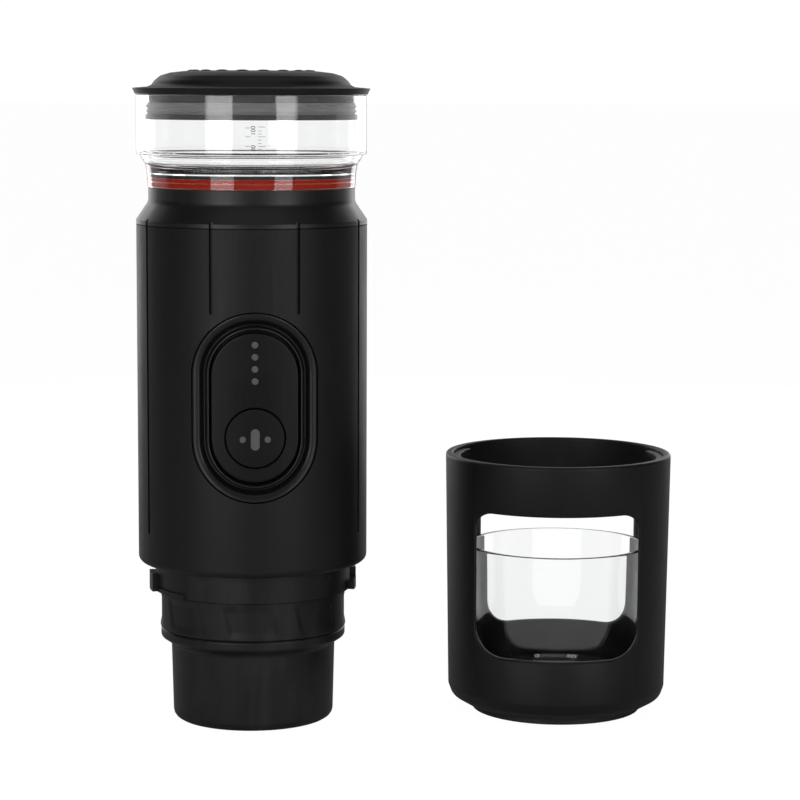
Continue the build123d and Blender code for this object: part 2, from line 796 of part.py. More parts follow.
# -------------------------------- collar under the tank
collar_bore = heater_cup_radius + heater_cup_wall + 0.4
cup_seat_radius = heater_cup_radius + 4.0
skirt_radius = body_bore - frame_gap
skirt_bore = skirt_radius - collar_skirt_wall
skirt_bottom = collar_bottom - collar_skirt_depth
neck_bottom = collar_top - collar_neck_height
collar_screw_circle = skirt_bore + 0.3
collar_screw_places = polar(collar_screw_circle, collar_screw_angles)
with BuildPart() as top_collar:
    turned(
        (skirt_bore, skirt_bottom),
        (skirt_radius, skirt_bottom),
        (skirt_radius, collar_bottom),
        (body_radius, collar_bottom),
        (body_radius, collar_bottom + collar_edge),
        (collar_neck_radius, neck_bottom),
        (collar_neck_radius, collar_top),
        (cup_seat_radius + fit_gap, collar_top),
        (cup_seat_radius + fit_gap, cup_rim_bottom),
        (collar_bore, cup_rim_bottom),
        (collar_bore, collar_bottom + collar_edge),
        (skirt_bore, collar_bottom),
    )
    round_edges = top_collar.edges().filter_by(GeomType.CIRCLE)
    neck_edge = round_edges.filter_by_position(Axis.Z, neck_bottom - 0.01, neck_bottom + 0.01)
    fillet(neck_edge, radius=collar_neck_rounding)
    for place in collar_screw_places:
        post(place, collar_boss_radius, frame_top, skirt_bottom + 3)
        post(place, collar_screw_radius + fit_gap, frame_top - 1, frame_top + collar_screw_grip + 1,
             mode=Mode.SUBTRACT)
    ring(skirt_radius, body_radius + 5, frame_top - 1, collar_bottom - 0.01, mode=Mode.SUBTRACT)
    flutes(long_flutes + short_flutes, collar_bottom - 1, collar_bottom + 1.9)
top_collar.part.label = "top_collar"
export_step(top_collar.part, "parts/top_collar.step")

with BuildPart() as collar_screws:
    for place in collar_screw_places:
        post(place, collar_screw_radius, frame_top_bottom, frame_top + collar_screw_grip)
        post(place, 1.8 * collar_screw_radius, frame_top_bottom - 1.6, frame_top_bottom)
        post(place, 0.8 * collar_screw_radius, frame_top_bottom - 2, frame_top_bottom - 0.8,
             mode=Mode.SUBTRACT)
collar_screws.part.label = "collar_screws"
export_step(collar_screws.part, "parts/collar_screws.step")

# -------------------------------- control panel: bezel, plate, lights, button
# concave valley between the rim and the ridge, following the round body
with BuildPart() as valley:
    stadium(panel_width - 2 * panel_rim, panel_length - 2 * panel_rim, panel_rim_back, body_radius + 1)
    stadium(panel_width - 2 * panel_ridge_inset, panel_length - 2 * panel_ridge_inset,
            panel_rim_back - 1, body_radius + 2, mode=Mode.SUBTRACT)
    ring(0, body_radius - panel_valley_depth, shell_bottom, shell_top, mode=Mode.SUBTRACT)

panel_rear_inset = panel_rim + panel_wall
with BuildPart() as control_bezel:
    stadium(panel_width - 2 * seam_gap, panel_length - 2 * seam_gap, panel_rim_back, body_radius)
    stadium(panel_width - 2 * panel_rear_inset, panel_length - 2 * panel_rear_inset,
            panel_rim_back - 1, panel_back, mode=Mode.SUBTRACT)
    with Locations((0, 0, shell_bottom)):
        Cylinder(body_radius, body_height, align=UPRIGHT, mode=Mode.INTERSECT)
    add(valley.part, mode=Mode.SUBTRACT)
    stadium(plate_width + 2 * fit_gap, plate_length + 2 * fit_gap, plate_back, body_radius + 1,
            mode=Mode.SUBTRACT)
    stadium(plate_width - 2 * panel_ledge, plate_length - 2 * panel_ledge, panel_back - 1, body_radius,
            mode=Mode.SUBTRACT)
    for x, z in board_screw_places:
        rod_to_front(board_boss_radius, x, z, board_front, panel_back + 0.5)
        rod_to_front(board_screw_radius + fit_gap, x, z, board_front - 1, panel_back + 1.2,
                     mode=Mode.SUBTRACT)
control_bezel.part.label = "control_bezel"
export_step(control_bezel.part, "parts/control_bezel.step")

light_heights = [panel_centre + light_top_rise - light_pitch * i for i in range(4)]
with BuildPart() as control_plate:
    stadium(plate_width, plate_length, plate_back, body_radius)
    with Locations((0, crown_axis_y, shell_bottom)):
        Cylinder(plate_crown_radius, body_height, align=UPRIGHT, mode=Mode.INTERSECT)
    rod_to_front(button_radius + slide_gap, 0, button_centre, plate_back - 1, body_radius + 1,
                 mode=Mode.SUBTRACT)
    for height in light_heights:
        rod_to_front(light_radius + fit_gap, 0, height, plate_back - 1, body_radius + 1, mode=Mode.SUBTRACT)
control_plate.part.label = "control_plate"
export_step(control_plate.part, "parts/control_plate.step")

with BuildPart() as battery_light_guide:
    for height in light_heights:
        rod_to_front(light_radius, 0, height, plate_back - 0.5, body_radius)
    with Locations((0, crown_axis_y, shell_bottom)):
        Cylinder(plate_crown_radius, body_height, align=UPRIGHT, mode=Mode.INTERSECT)
    block((-2.2 * light_radius, 2.2 * light_radius), (-plate_back, -plate_back + light_bar_thickness),
          (light_heights[-1] - light_radius, light_heights[0] + light_radius))
battery_light_guide.part.label = "battery_light_guide"
export_step(battery_light_guide.part, "parts/battery_light_guide.step")

button_flange_back = plate_back - seam_gap - button_flange_thickness
guide_back = plate_back - seam_gap
with BuildPart() as brew_button:
    rod_to_front(button_radius, 0, button_centre, guide_back - 0.1, body_radius)
    with Locations((0, crown_axis_y, shell_bottom)):
        Cylinder(plate_crown_radius, body_height, align=UPRIGHT, mode=Mode.INTERSECT)
    rod_to_front(button_radius + button_flange, 0, button_centre, button_flange_back, guide_back)
    # windows for the light guide and its pocket behind the face
    with BuildSketch(Plane.XZ.offset(button_flange_back - 1)) as windows:
        with Locations((0, pill_centre)):
            SlotOverall(pill_length + 2 * fit_gap, pill_width + 2 * fit_gap, rotation=90)
        with Locations((-dot_offset, pill_centre), (dot_offset, pill_centre)):
            Circle(dot_radius + fit_gap)
    extrude(windows.sketch, amount=10, mode=Mode.SUBTRACT)
brew_button.part.label = "brew_button"
export_step(brew_button.part, "parts/brew_button.step")

with BuildPart() as button_light_guide:
    with BuildSketch(Plane.XZ.offset(button_flange_back)) as windows:
        with Locations((0, pill_centre)):
            SlotOverall(pill_length, pill_width, rotation=90)
        with Locations((-dot_offset, pill_centre), (dot_offset, pill_centre)):
            Circle(dot_radius)
    extrude(windows.sketch, amount=10)
    with Locations((0, crown_axis_y, shell_bottom)):
        Cylinder(plate_crown_radius, body_height, align=UPRIGHT, mode=Mode.INTERSECT)
button_light_guide.part.label = "button_light_guide"
export_step(button_light_guide.part, "parts/button_light_guide.step")

# -------------------------------- control board behind the panel
board_back = board_front - board_thickness
with BuildPart() as control_board:
    block((-control_board_width / 2, control_board_width / 2), (-board_front, -board_back),
          (panel_centre - control_board_length / 2, panel_centre + control_board_length / 2))
    for x, z in board_screw_places:
        rod_to_front(board_screw_radius + fit_gap, x, z, board_back - 1, board_front + 1, mode=Mode.SUBTRACT)
control_board.part.label = "control_board"
export_step(control_board.part, "parts/control_board.step")

with BuildPart() as board_screws:
    for x, z in board_screw_places:
        rod_to_front(board_screw_radius, x, z, board_back - 1.0, panel_back + 0.9)
        rod_to_front(board_screw_head_radius, x, z, board_back - 1.0, board_back)
board_screws.part.label = "board_screws"
export_step(board_screws.part, "parts/board_screws.step")

with BuildPart() as led_chips:
    chip_places = [(0, height) for height in light_heights]
    chip_places += [(side * 1.2 * switch_side, button_centre) for side in (-1, 1)]
    for x, z in chip_places:
        block((x - led_side / 2, x + led_side / 2), (-board_front - led_height, -board_front),
              (z - led_side / 2, z + led_side / 2))
led_chips.part.label = "led_chips"
export_step(led_chips.part, "parts/led_chips.step")

switch_front = button_flange_back - button_travel - fit_gap
with BuildPart() as tact_switch:
    block((-switch_side / 2, switch_side / 2), (-switch_front + 0.5, -board_front),
          (button_centre - switch_side / 2, button_centre + switch_side / 2))
    rod_to_front(plunger_radius, 0, button_centre, switch_front - 0.6, switch_front)
tact_switch.part.label = "tact_switch"
export_step(tact_switch.part, "parts/tact_switch.step")

# ================================ tank, gasket and lid
# -------------------------------- tank: clear wall over a narrower skirt and a spigot
tank_bore = tank_radius - tank_wall
skirt_inner = tank_neck_radius - tank_skirt_wall
spigot_radius = heater_cup_radius - slide_gap
spigot_bore = spigot_radius - tank_spigot_wall
spigot_bottom = seal_top + seat_gap - tank_spigot_depth
tank_ceiling = seal_top + 2 * seat_gap
tank_floor = tank_ceiling + 2.2
with BuildPart() as water_tank:
    with BuildSketch(Plane.XZ):
        with BuildLine():
            Polyline(
                (spigot_bore, tank_floor),
                (spigot_bore, spigot_bottom),
                (spigot_radius, spigot_bottom),
                (spigot_radius, tank_ceiling),
                (skirt_inner, tank_ceiling),
                (skirt_inner, tank_bottom),
                (tank_neck_radius, tank_bottom),
                (tank_neck_radius + 0.3, tank_bottom + 0.45 * tank_shelf_height),
            )
            ThreePointArc(
                (tank_neck_radius + 0.3, tank_bottom + 0.45 * tank_shelf_height),
                (tank_neck_radius + 0.9, tank_bottom + 0.78 * tank_shelf_height),
                (tank_radius - tank_step, tank_shelf),
            )
            Polyline(
                (tank_radius - tank_step, tank_shelf),
                (tank_radius, tank_shelf),
                (tank_radius, tank_top),
                (tank_bore, tank_top),
                (tank_bore, tank_shelf + 2.4),
            )
            ThreePointArc(
                (tank_bore, tank_shelf + 2.4),
                (tank_bore - 1.6, tank_shelf - 1.9),
                (spigot_radius + 3.2, tank_floor + 0.6),
            )
            Line((spigot_radius + 3.2, tank_floor + 0.6), (spigot_bore, tank_floor))
        make_face()
    revolve(axis=Axis.Z)
water_tank.part.label = "water_tank"
export_step(water_tank.part, "parts/water_tank.step")

seal_bore = spigot_radius + slide_gap
seal_radius = skirt_inner - slide_gap
with BuildPart() as tank_seal:
    turned(
        (seal_bore, cup_rim_top),
        (seal_radius, cup_rim_top),
        (seal_radius, cup_rim_top + 0.4 * seal_height),
        (seal_radius - seal_groove, cup_rim_top + 0.5 * seal_height),
        (seal_radius, cup_rim_top + 0.6 * seal_height),
        (seal_radius, seal_top),
        (seal_bore, seal_top),
    )
tank_seal.part.label = "tank_seal"
export_step(tank_seal.part, "parts/tank_seal.step")

# -------------------------------- lid: domed cap, seal and plug disc
lid_neck_radius = tank_bore - 1.5
lid_core_radius = lid_neck_radius - 3.8
lid_core_bore = lid_core_radius - lid_wall
# the crown is part of a ball: from its edge's drop come the ball's radius and the drop half way out
lid_crown_edge = 0.8 * lid_dome_radius
lid_crown_ball = (lid_crown_edge**2 + lid_crown_drop**2) / (2 * lid_crown_drop)
lid_crown_middle_drop = lid_crown_ball - sqrt(lid_crown_ball**2 - (lid_crown_edge / 2) ** 2)
with BuildPart() as lid_cap:
    with BuildSketch(Plane.XZ):
        with BuildLine():
            Polyline(
                (0, lid_top),
                (0, lid_top - lid_wall),
                (lid_core_bore, lid_top - 1.4 * lid_wall),
                (lid_core_bore, lid_seal_bottom),
                (lid_core_radius, lid_seal_bottom),
                (lid_core_radius, lid_seal_top),
                (lid_neck_radius, lid_seal_top),
                (lid_neck_radius, lid_bottom),
                (tank_radius + 0.2, lid_bottom),
                (lid_radius, lid_flange_top),
                (lid_dome_radius, lid_flange_top + 0.5),
            )
            ThreePointArc(
                (lid_dome_radius, lid_flange_top + 0.5),
                (0.9 * lid_dome_radius, lid_top - 0.33 * (lid_height - lid_flange_height)),
                (lid_crown_edge, lid_top - lid_crown_drop),
            )
            ThreePointArc(
                (lid_crown_edge, lid_top - lid_crown_drop),
                (lid_crown_edge / 2, lid_top - lid_crown_middle_drop),
                (0, lid_top),
            )
        make_face()
    revolve(axis=Axis.Z)
    with PolarLocations(lid_pip_circle, lid_pip_count):
        with Locations((0, 0, lid_top - 1.0)):
            Cylinder(lid_pip_radius, 0.5 + lid_pip_height, align=UPRIGHT)
lid_cap.part.label = "lid_cap"
export_step(lid_cap.part, "parts/lid_cap.step")

with BuildPart() as lid_seal:
    turned(
        (lid_core_radius, lid_seal_bottom),
        (tank_bore - lid_seal_inset, lid_seal_bottom),
        (tank_bore - lid_seal_inset, lid_seal_bottom + 0.7),
        (tank_bore - slide_gap, lid_seal_bottom + 1.2),
        (tank_bore - lid_seal_inset, lid_seal_bottom + 1.7),
        (tank_bore - lid_seal_inset, lid_seal_top - 1.7),
        (tank_bore - slide_gap, lid_seal_top - 1.2),
        (tank_bore - lid_seal_inset, lid_seal_top - 0.7),
        (tank_bore - lid_seal_inset, lid_seal_top),
        (lid_core_radius, lid_seal_top),
    )
lid_seal.part.label = "lid_seal"
export_step(lid_seal.part, "parts/lid_seal.step")

with BuildPart() as lid_plug:
    ring(0, tank_bore - slide_gap, lid_plug_bottom, lid_seal_bottom)
    ring(lid_core_bore - fit_gap - 1.6, lid_core_bore - fit_gap, lid_seal_bottom, lid_seal_bottom + 3.0)
lid_plug.part.label = "lid_plug"
export_step(lid_plug.part, "parts/lid_plug.step")

# ================================ inside the machine
# -------------------------------- heating cup with its outlet, heater and sensors
suction_place = (suction_x, tube_axis_y)
probe_place = (18.0, 8.0)
with BuildPart() as heating_cup:
    turned(
        (0, heater_top),
        (heater_cup_radius + heater_cup_wall, heater_top),
        (heater_cup_radius + heater_cup_wall, cup_rim_bottom),
        (cup_seat_radius, cup_rim_bottom),
        (cup_seat_radius, cup_rim_top),
        (heater_cup_radius, cup_rim_top),
        (heater_cup_radius, heater_cup_floor),
        (0, heater_cup_floor),
    )
    post(suction_place, tube_radius + fit_gap, heater_top - 1, heater_cup_floor + 1, mode=Mode.SUBTRACT)
heating_cup.part.label = "heating_cup"
export_step(heating_cup.part, "parts/heating_cup.step")

with BuildPart() as cup_outlet:
    post(suction_place, tube_radius + 1.8, heater_top - cup_outlet_flange, heater_top)
    post(suction_place, tube_radius, heater_top, heater_cup_floor)
    post(suction_place, tube_bore - fit_gap, heater_top - cup_outlet_flange - 5, heater_top)
    post(suction_place, 0.8, heater_top - cup_outlet_flange - 6, heater_cup_floor + 1, mode=Mode.SUBTRACT)
cup_outlet.part.label = "cup_outlet"
export_step(cup_outlet.part, "parts/cup_outlet.step")

with BuildPart() as inlet_strainer:
    post(suction_place, strainer_radius, heater_cup_floor, heater_cup_floor + strainer_height)
    post(suction_place, strainer_radius - 0.5, heater_cup_floor - 1, heater_cup_floor + strainer_height - 0.5,
         mode=Mode.SUBTRACT)
    with Locations((*suction_place, heater_cup_floor + strainer_height)):
        with PolarLocations(2.1, 8):
            Cylinder(0.4, 2, mode=Mode.SUBTRACT)
inlet_strainer.part.label = "inlet_strainer"
export_step(inlet_strainer.part, "parts/inlet_strainer.step")

with BuildPart() as heater_plate:
    ring(0, heater_radius, heater_bottom, heater_top)
heater_plate.part.label = "heater_plate"
export_step(heater_plate.part, "parts/heater_plate.step")

with BuildPart() as temperature_probe:
    post(probe_place, probe_radius, frame_top_bottom, heater_top)
temperature_probe.part.label = "temperature_probe"
export_step(temperature_probe.part, "parts/temperature_probe.step")

with BuildPart() as thermal_fuse:
    rod_along_x(fuse_radius, (-fuse_length / 2, fuse_length / 2), 12, frame_top + fuse_radius)
thermal_fuse.part.label = "thermal_fuse"
export_step(thermal_fuse.part, "parts/thermal_fuse.step")

# -------------------------------- inner frame: two plates, a spine, a pump shelf
lead_places = ((14.0, -6.0), (13.0, -10.0))
rail_x = (main_board_x - 1.6, main_board_x + board_thickness + 1.6)
main_board_bottom = frame_base_top + 3.2
with BuildPart() as inner_frame:
    ring(head_spigot_radius + 0.5, frame_radius, shell_floor_top, frame_base_top)
    ring(0, frame_radius, frame_top_bottom, frame_top)
    block((-frame_spine_width / 2, frame_spine_width / 2), (spine_front, spine_back), (head_top, frame_top))
    block((-frame_spine_width / 2, frame_spine_width / 2), (pump_front, spine_back),
          (pump_bottom - frame_plate, pump_bottom))
    for side in (-1, 1):
        # legs from the base plate's ring up to the pump shelf, and bosses under the charge board
        block((side * 5.0 - 2, side * 5.0 + 2), (-head_spigot_radius - 3.5, -head_spigot_radius - 0.8),
              (frame_base_top, pump_bottom))
        block((side * 5.0 - 2, side * 5.0 + 2), (-head_spigot_radius - 3.5, pump_front + 1),
              (pump_bottom - frame_plate, pump_bottom))
        post((side * 7.0, head_spigot_radius + 2.7), 2.0, shell_floor_top, frame_base_top + charge_board_rise)
    block(rail_x, (-15, -3), (shell_floor_top, frame_base_top + 7))
    block(rail_x, (-15, -3), (frame_top_bottom - 6, frame_top_bottom))
    block((main_board_x - fit_gap, main_board_x + board_thickness + fit_gap), (-16, -2),
          (main_board_bottom, frame_top_bottom - 3), mode=Mode.SUBTRACT)
    ring(0, head_spigot_radius + 0.3, shell_bottom, head_top + 0.5, mode=Mode.SUBTRACT)
    for place in frame_screw_places:
        post(place, frame_screw_radius + fit_gap, shell_floor_top - 1, frame_base_top + 1,
             mode=Mode.SUBTRACT)
    for place in collar_screw_places:
        post(place, collar_screw_radius + fit_gap, frame_top_bottom - 1, frame_top + 1, mode=Mode.SUBTRACT)
    post(suction_place, tube_radius + 2 * fit_gap, frame_top_bottom - 1, frame_top + 1, mode=Mode.SUBTRACT)
    post(probe_place, probe_radius + fit_gap, frame_top_bottom - 1, frame_top + 1, mode=Mode.SUBTRACT)
    for place in lead_places:
        post(place, lead_radius + fit_gap, frame_top_bottom - 1, frame_top + 1, mode=Mode.SUBTRACT)
inner_frame.part.label = "inner_frame"
export_step(inner_frame.part, "parts/inner_frame.step")

with BuildPart() as frame_screws:
    screws(frame_screw_places, frame_screw_radius, frame_screw_bottom, frame_base_top,
           frame_screw_head_radius, frame_screw_head_height)
frame_screws.part.label = "frame_screws"
export_step(frame_screws.part, "parts/frame_screws.step")


# -------------------------------- battery: three cells, two cradles, straps
def cell_discs(radius, bottom, top, mode=Mode.ADD):
    """One upright disc at each cell."""
    for place in cell_places:
        post(place, radius, bottom, top, mode=mode)


def strap(first, second, width, bottom, top, mode=Mode.ADD):
    """A flat strip between the middles of two cells."""
    (x1, y1), (x2, y2) = cell_places[first], cell_places[second]
    length = sqrt((x2 - x1) ** 2 + (y2 - y1) ** 2)
    middle = Vector((x1 + x2) / 2, (y1 + y2) / 2, (bottom + top) / 2)
    turn = Vector(1, 0, 0).get_signed_angle(Vector(x2 - x1, y2 - y1, 0), Vector(0, 0, 1))
    with Locations(Location(middle, (0, 0, turn))):
        Box(length + width, width, top - bottom, mode=mode)


def cradle(bottom, top, pocket_bottom_, pocket_top_, strap_pair, strap_bottom, strap_top):
    """End piece that holds the three cells, with a web to the frame's spine."""
    cell_discs(cell_radius + cradle_wall, bottom, top)
    block((-frame_spine_width / 2, frame_spine_width / 2), (spine_back, cell_circle), (bottom, top))
    web_half_width, web_middle = cell_places[0]
    block((-web_half_width, web_half_width), (spine_back + 3, web_middle + 3), (bottom, top))
    cell_discs(cell_radius + fit_gap, pocket_bottom_, pocket_top_, mode=Mode.SUBTRACT)
    strap(*strap_pair, strap_width + 2 * fit_gap, strap_bottom, strap_top, mode=Mode.SUBTRACT)


with BuildPart() as battery_cells:
    cell_discs(cell_radius, cell_bottom, cell_top)
battery_cells.part.label = "battery_cells"
export_step(battery_cells.part, "parts/battery_cells.step")

with BuildPart() as battery_straps:
    strap(0, 1, strap_width, cell_bottom - strap_thickness, cell_bottom)
    strap(1, 2, strap_width, cell_top, cell_top + strap_thickness)
battery_straps.part.label = "battery_straps"
export_step(battery_straps.part, "parts/battery_straps.step")

lower_cradle_top = cell_bottom + cradle_depth
with BuildPart() as battery_cradle_lower:
    cradle(lower_cradle_bottom, lower_cradle_top, cell_bottom - strap_thickness, lower_cradle_top + 1,
           (0, 1), cell_bottom - strap_thickness, lower_cradle_top + 1)
    for place in (cell_places[0], cell_places[2]):
        post(place, 3.0, head_top, lower_cradle_bottom + 0.5)
battery_cradle_lower.part.label = "battery_cradle_lower"
export_step(battery_cradle_lower.part, "parts/battery_cradle_lower.step")

with BuildPart() as battery_cradle_upper:
    cradle(cell_top - cradle_depth, frame_top_bottom, cell_top - cradle_depth - 1, cell_top + strap_thickness,
           (1, 2), cell_top - cradle_depth - 1, cell_top + strap_thickness)
battery_cradle_upper.part.label = "battery_cradle_upper"
export_step(battery_cradle_upper.part, "parts/battery_cradle_upper.step")

# -------------------------------- gear pump
pump_screw_places = [
    (side * (pump_half_width - pump_screw_inset), y)
    for side in (-1, 1)
    for y in (pump_front + pump_screw_inset, pump_back - pump_screw_inset)
]
gear_places = ((0, pump_axis_y), (0, idler_axis_y))
with BuildPart() as pump_housing:
    block((-pump_half_width, pump_half_width), (pump_front, pump_back), (pump_bottom, pump_top))
    fillet(pump_housing.edges().filter_by(Axis.Z), radius=2.0)
    for place in gear_places:
        post(place, pump_pocket_radius, pump_bottom + pump_floor, pump_top + 1, mode=Mode.SUBTRACT)
    post((0, idler_axis_y), shaft_radius, pump_bottom, gear_top)
    post((0, pump_axis_y), shaft_radius + fit_gap, pump_bottom + pump_floor - 1, gear_top, mode=Mode.SUBTRACT)
    rod_along_x(tube_bore - fit_gap, (-pump_half_width - tube_stub_length, -pump_half_width + 1), tube_axis_y,
                tube_height)
    rod_along_x(tube_bore - fit_gap, (pump_half_width - 1, pump_half_width + tube_stub_length), tube_axis_y,
                tube_height)
    rod_along_x(0.7, (-pump_half_width - 3, -1), tube_axis_y, tube_height, mode=Mode.SUBTRACT)
    rod_along_x(0.7, (1, pump_half_width + 3), tube_axis_y, tube_height, mode=Mode.SUBTRACT)
    for place in pump_screw_places:
        post(place, pump_screw_radius + fit_gap, pump_bottom + 2, pump_top + 1, mode=Mode.SUBTRACT)
pump_housing.part.label = "pump_housing"
export_step(pump_housing.part, "parts/pump_housing.step")

screw_recess = cover_top - pump_screw_head_height - seat_gap
with BuildPart() as pump_cover:
    block((-pump_half_width, pump_half_width), (pump_front, pump_back), (pump_top, cover_top))
    fillet(pump_cover.edges().filter_by(Axis.Z), radius=2.0)
    post((0, pump_axis_y), shaft_radius + fit_gap, pump_top - 1, cover_top + 1, mode=Mode.SUBTRACT)
    for place in pump_screw_places:
        post(place, pump_screw_radius + fit_gap, pump_top - 1, cover_top + 1, mode=Mode.SUBTRACT)
        post(place, pump_screw_head_radius + fit_gap, screw_recess, cover_top + 1, mode=Mode.SUBTRACT)
pump_cover.part.label = "pump_cover"
export_step(pump_cover.part, "parts/pump_cover.step")

with BuildPart() as pump_screws:
    screws(pump_screw_places, pump_screw_radius, pump_bottom + 2.5, screw_recess, pump_screw_head_radius,
           pump_screw_head_height)
pump_screws.part.label = "pump_screws"
export_step(pump_screws.part, "parts/pump_screws.step")

with BuildPart() as pump_drive_gear:
    gear((0, pump_axis_y), 270, shaft_radius)
pump_drive_gear.part.label = "pump_drive_gear"
export_step(pump_drive_gear.part, "parts/pump_drive_gear.step")

with BuildPart() as pump_idler_gear:
    gear((0, idler_axis_y), 90 + 180 / gear_teeth, shaft_radius + fit_gap)
pump_idler_gear.part.label = "pump_idler_gear"
export_step(pump_idler_gear.part, "parts/pump_idler_gear.step")

with BuildPart() as pump_shaft:
    post((0, pump_axis_y), shaft_radius, pump_bottom + pump_floor - 0.8, cover_top + motor_boss_depth - 0.3)
pump_shaft.part.label = "pump_shaft"
export_step(pump_shaft.part, "parts/pump_shaft.step")

with BuildPart() as pump_motor:
    post((0, pump_axis_y), motor_radius, cover_top, motor_top)
    end_edges = pump_motor.edges().filter_by(GeomType.CIRCLE)
    fillet(end_edges, radius=1.0)
    post((0, pump_axis_y), shaft_radius + fit_gap, cover_top - 1, cover_top + motor_boss_depth,
         mode=Mode.SUBTRACT)
    post((0, pump_axis_y), motor_radius / 3, motor_top - 0.5, motor_top + motor_hub_height)
pump_motor.part.label = "pump_motor"
export_step(pump_motor.part, "parts/pump_motor.step")

# -------------------------------- tubes and leads
with BuildPart() as suction_tube:
    tube(
        (
            (-pump_half_width - seat_gap, tube_axis_y, tube_height),
            (suction_x, tube_axis_y, tube_height),
            (suction_x, tube_axis_y, heater_top - cup_outlet_flange - seat_gap),
        ),
        tube_bend,
        tube_radius,
        tube_bore,
    )
suction_tube.part.label = "suction_tube"
export_step(suction_tube.part, "parts/suction_tube.step")

with BuildPart() as delivery_tube:
    tube(
        (
            (pump_half_width + seat_gap, tube_axis_y, tube_height),
            (delivery_x, tube_axis_y, tube_height),
            (delivery_x, tube_axis_y, head_top + 1.0 + seat_gap),
        ),
        tube_bend,
        tube_radius,
        tube_bore,
    )
delivery_tube.part.label = "delivery_tube"
export_step(delivery_tube.part, "parts/delivery_tube.step")

lead_height = frame_top_bottom - 12
with BuildPart() as power_leads:
    for x, y in lead_places:
        tube(((x, y, heater_bottom), (x, y, lead_height), (main_board_x, y, lead_height)), lead_bend,
             lead_radius, 0)
    for y in (pump_axis_y + 2, pump_axis_y - 6):
        tube(((6.0, y, motor_top), (6.0, y, motor_top + 7), (main_board_x, y, motor_top + 7)), lead_bend,
             lead_radius, 0)
power_leads.part.label = "power_leads"
export_step(power_leads.part, "parts/power_leads.step")

# -------------------------------- power board and its components
main_board_back = main_board_front + main_board_width
with BuildPart() as main_board:
    block((main_board_x, main_board_x + board_thickness), (main_board_front, main_board_back),
          (main_board_bottom, frame_top_bottom - 3))
main_board.part.label = "main_board"
export_step(main_board.part, "parts/main_board.step")

component_boxes = (
    # depth off the board, width along Y, height, middle Y, bottom height above the board's lower edge
    (4.2, 8.0, 8.0, -9.0, 8.0),
    (1.6, 7.0, 7.0, -9.0, 20.0),
    (1.2, 5.0, 6.0, -14.0, 32.0),
    (1.2, 5.0, 6.0, -5.0, 32.0),
)
with BuildPart() as board_components:
    for depth, width, height, middle, rise in component_boxes:
        block((main_board_x - depth, main_board_x), (middle - width / 2, middle + width / 2),
              (main_board_bottom + rise, main_board_bottom + rise + height))
    for y in (-14.5, -5.5):
        rod_along_x(3.0, (main_board_x - 5.5, main_board_x), y, main_board_bottom + 45)
board_components.part.label = "board_components"
export_step(board_components.part, "parts/board_components.step")

# -------------------------------- charge port: board, socket, cover and pin
charge_board_front = usb_mouth - usb_length + 5.0
with BuildPart() as charge_board:
    block((-charge_board_width / 2, charge_board_width / 2),
          (charge_board_front - charge_board_length + 2.0, charge_board_front),
          (charge_board_top - board_thickness, charge_board_top))
charge_board.part.label = "charge_board"
export_step(charge_board.part, "parts/charge_board.step")

mouth_width = usb_width - 2 * usb_wall
mouth_height = usb_height - 2 * usb_wall
with BuildPart() as usb_socket:
    with BuildSketch(Plane.XZ.offset(-usb_mouth)) as mouth:
        with Locations((0, port_height)):
            RectangleRounded(usb_width, usb_height, usb_height / 2 - 0.1)
            RectangleRounded(mouth_width, mouth_height, mouth_height / 2 - 0.1, mode=Mode.SUBTRACT)
    extrude(mouth.sketch, amount=usb_length)
    with BuildSketch(Plane.XZ.offset(-usb_mouth + usb_length - 1.0)) as back_wall:
        with Locations((0, port_height)):
            RectangleRounded(usb_width, usb_height, usb_height / 2 - 0.1)
    extrude(back_wall.sketch, amount=1.0)
    block((-usb_tongue_width / 2, usb_tongue_width / 2), (usb_mouth - usb_length + 0.5, usb_mouth - 1.0),
          (port_height - usb_tongue_thickness / 2, port_height + usb_tongue_thickness / 2))
usb_socket.part.label = "usb_socket"
export_step(usb_socket.part, "parts/usb_socket.step")

cover_half_width = port_half_width - slide_gap
with BuildPart() as port_cover:
    block((-cover_half_width, cover_half_width), (port_floor + slide_gap, body_radius + 1),
          (hinge_height, pocket_top - slide_gap))
    with Locations((0, 0, shell_bottom)):
        Cylinder(body_radius, body_height, align=UPRIGHT, mode=Mode.INTERSECT)
    rod_along_x(hinge_barrel_radius, (-cover_half_width, cover_half_width), hinge_y, hinge_height)
    # finger notch at the top edge and the pin's bore
    with Locations((0, body_radius, pocket_top - slide_gap)):
        Sphere(1.6, mode=Mode.SUBTRACT)
    rod_along_x(hinge_pin_radius + fit_gap, (-port_half_width, port_half_width), hinge_y, hinge_height,
                mode=Mode.SUBTRACT)
port_cover.part.label = "port_cover"
export_step(port_cover.part, "parts/port_cover.step")

with BuildPart() as port_cover_pin:
    rod_along_x(hinge_pin_radius, (-port_half_width - 0.7, port_half_width + 0.7), hinge_y, hinge_height)
port_cover_pin.part.label = "port_cover_pin"
export_step(port_cover_pin.part, "parts/port_cover_pin.step")


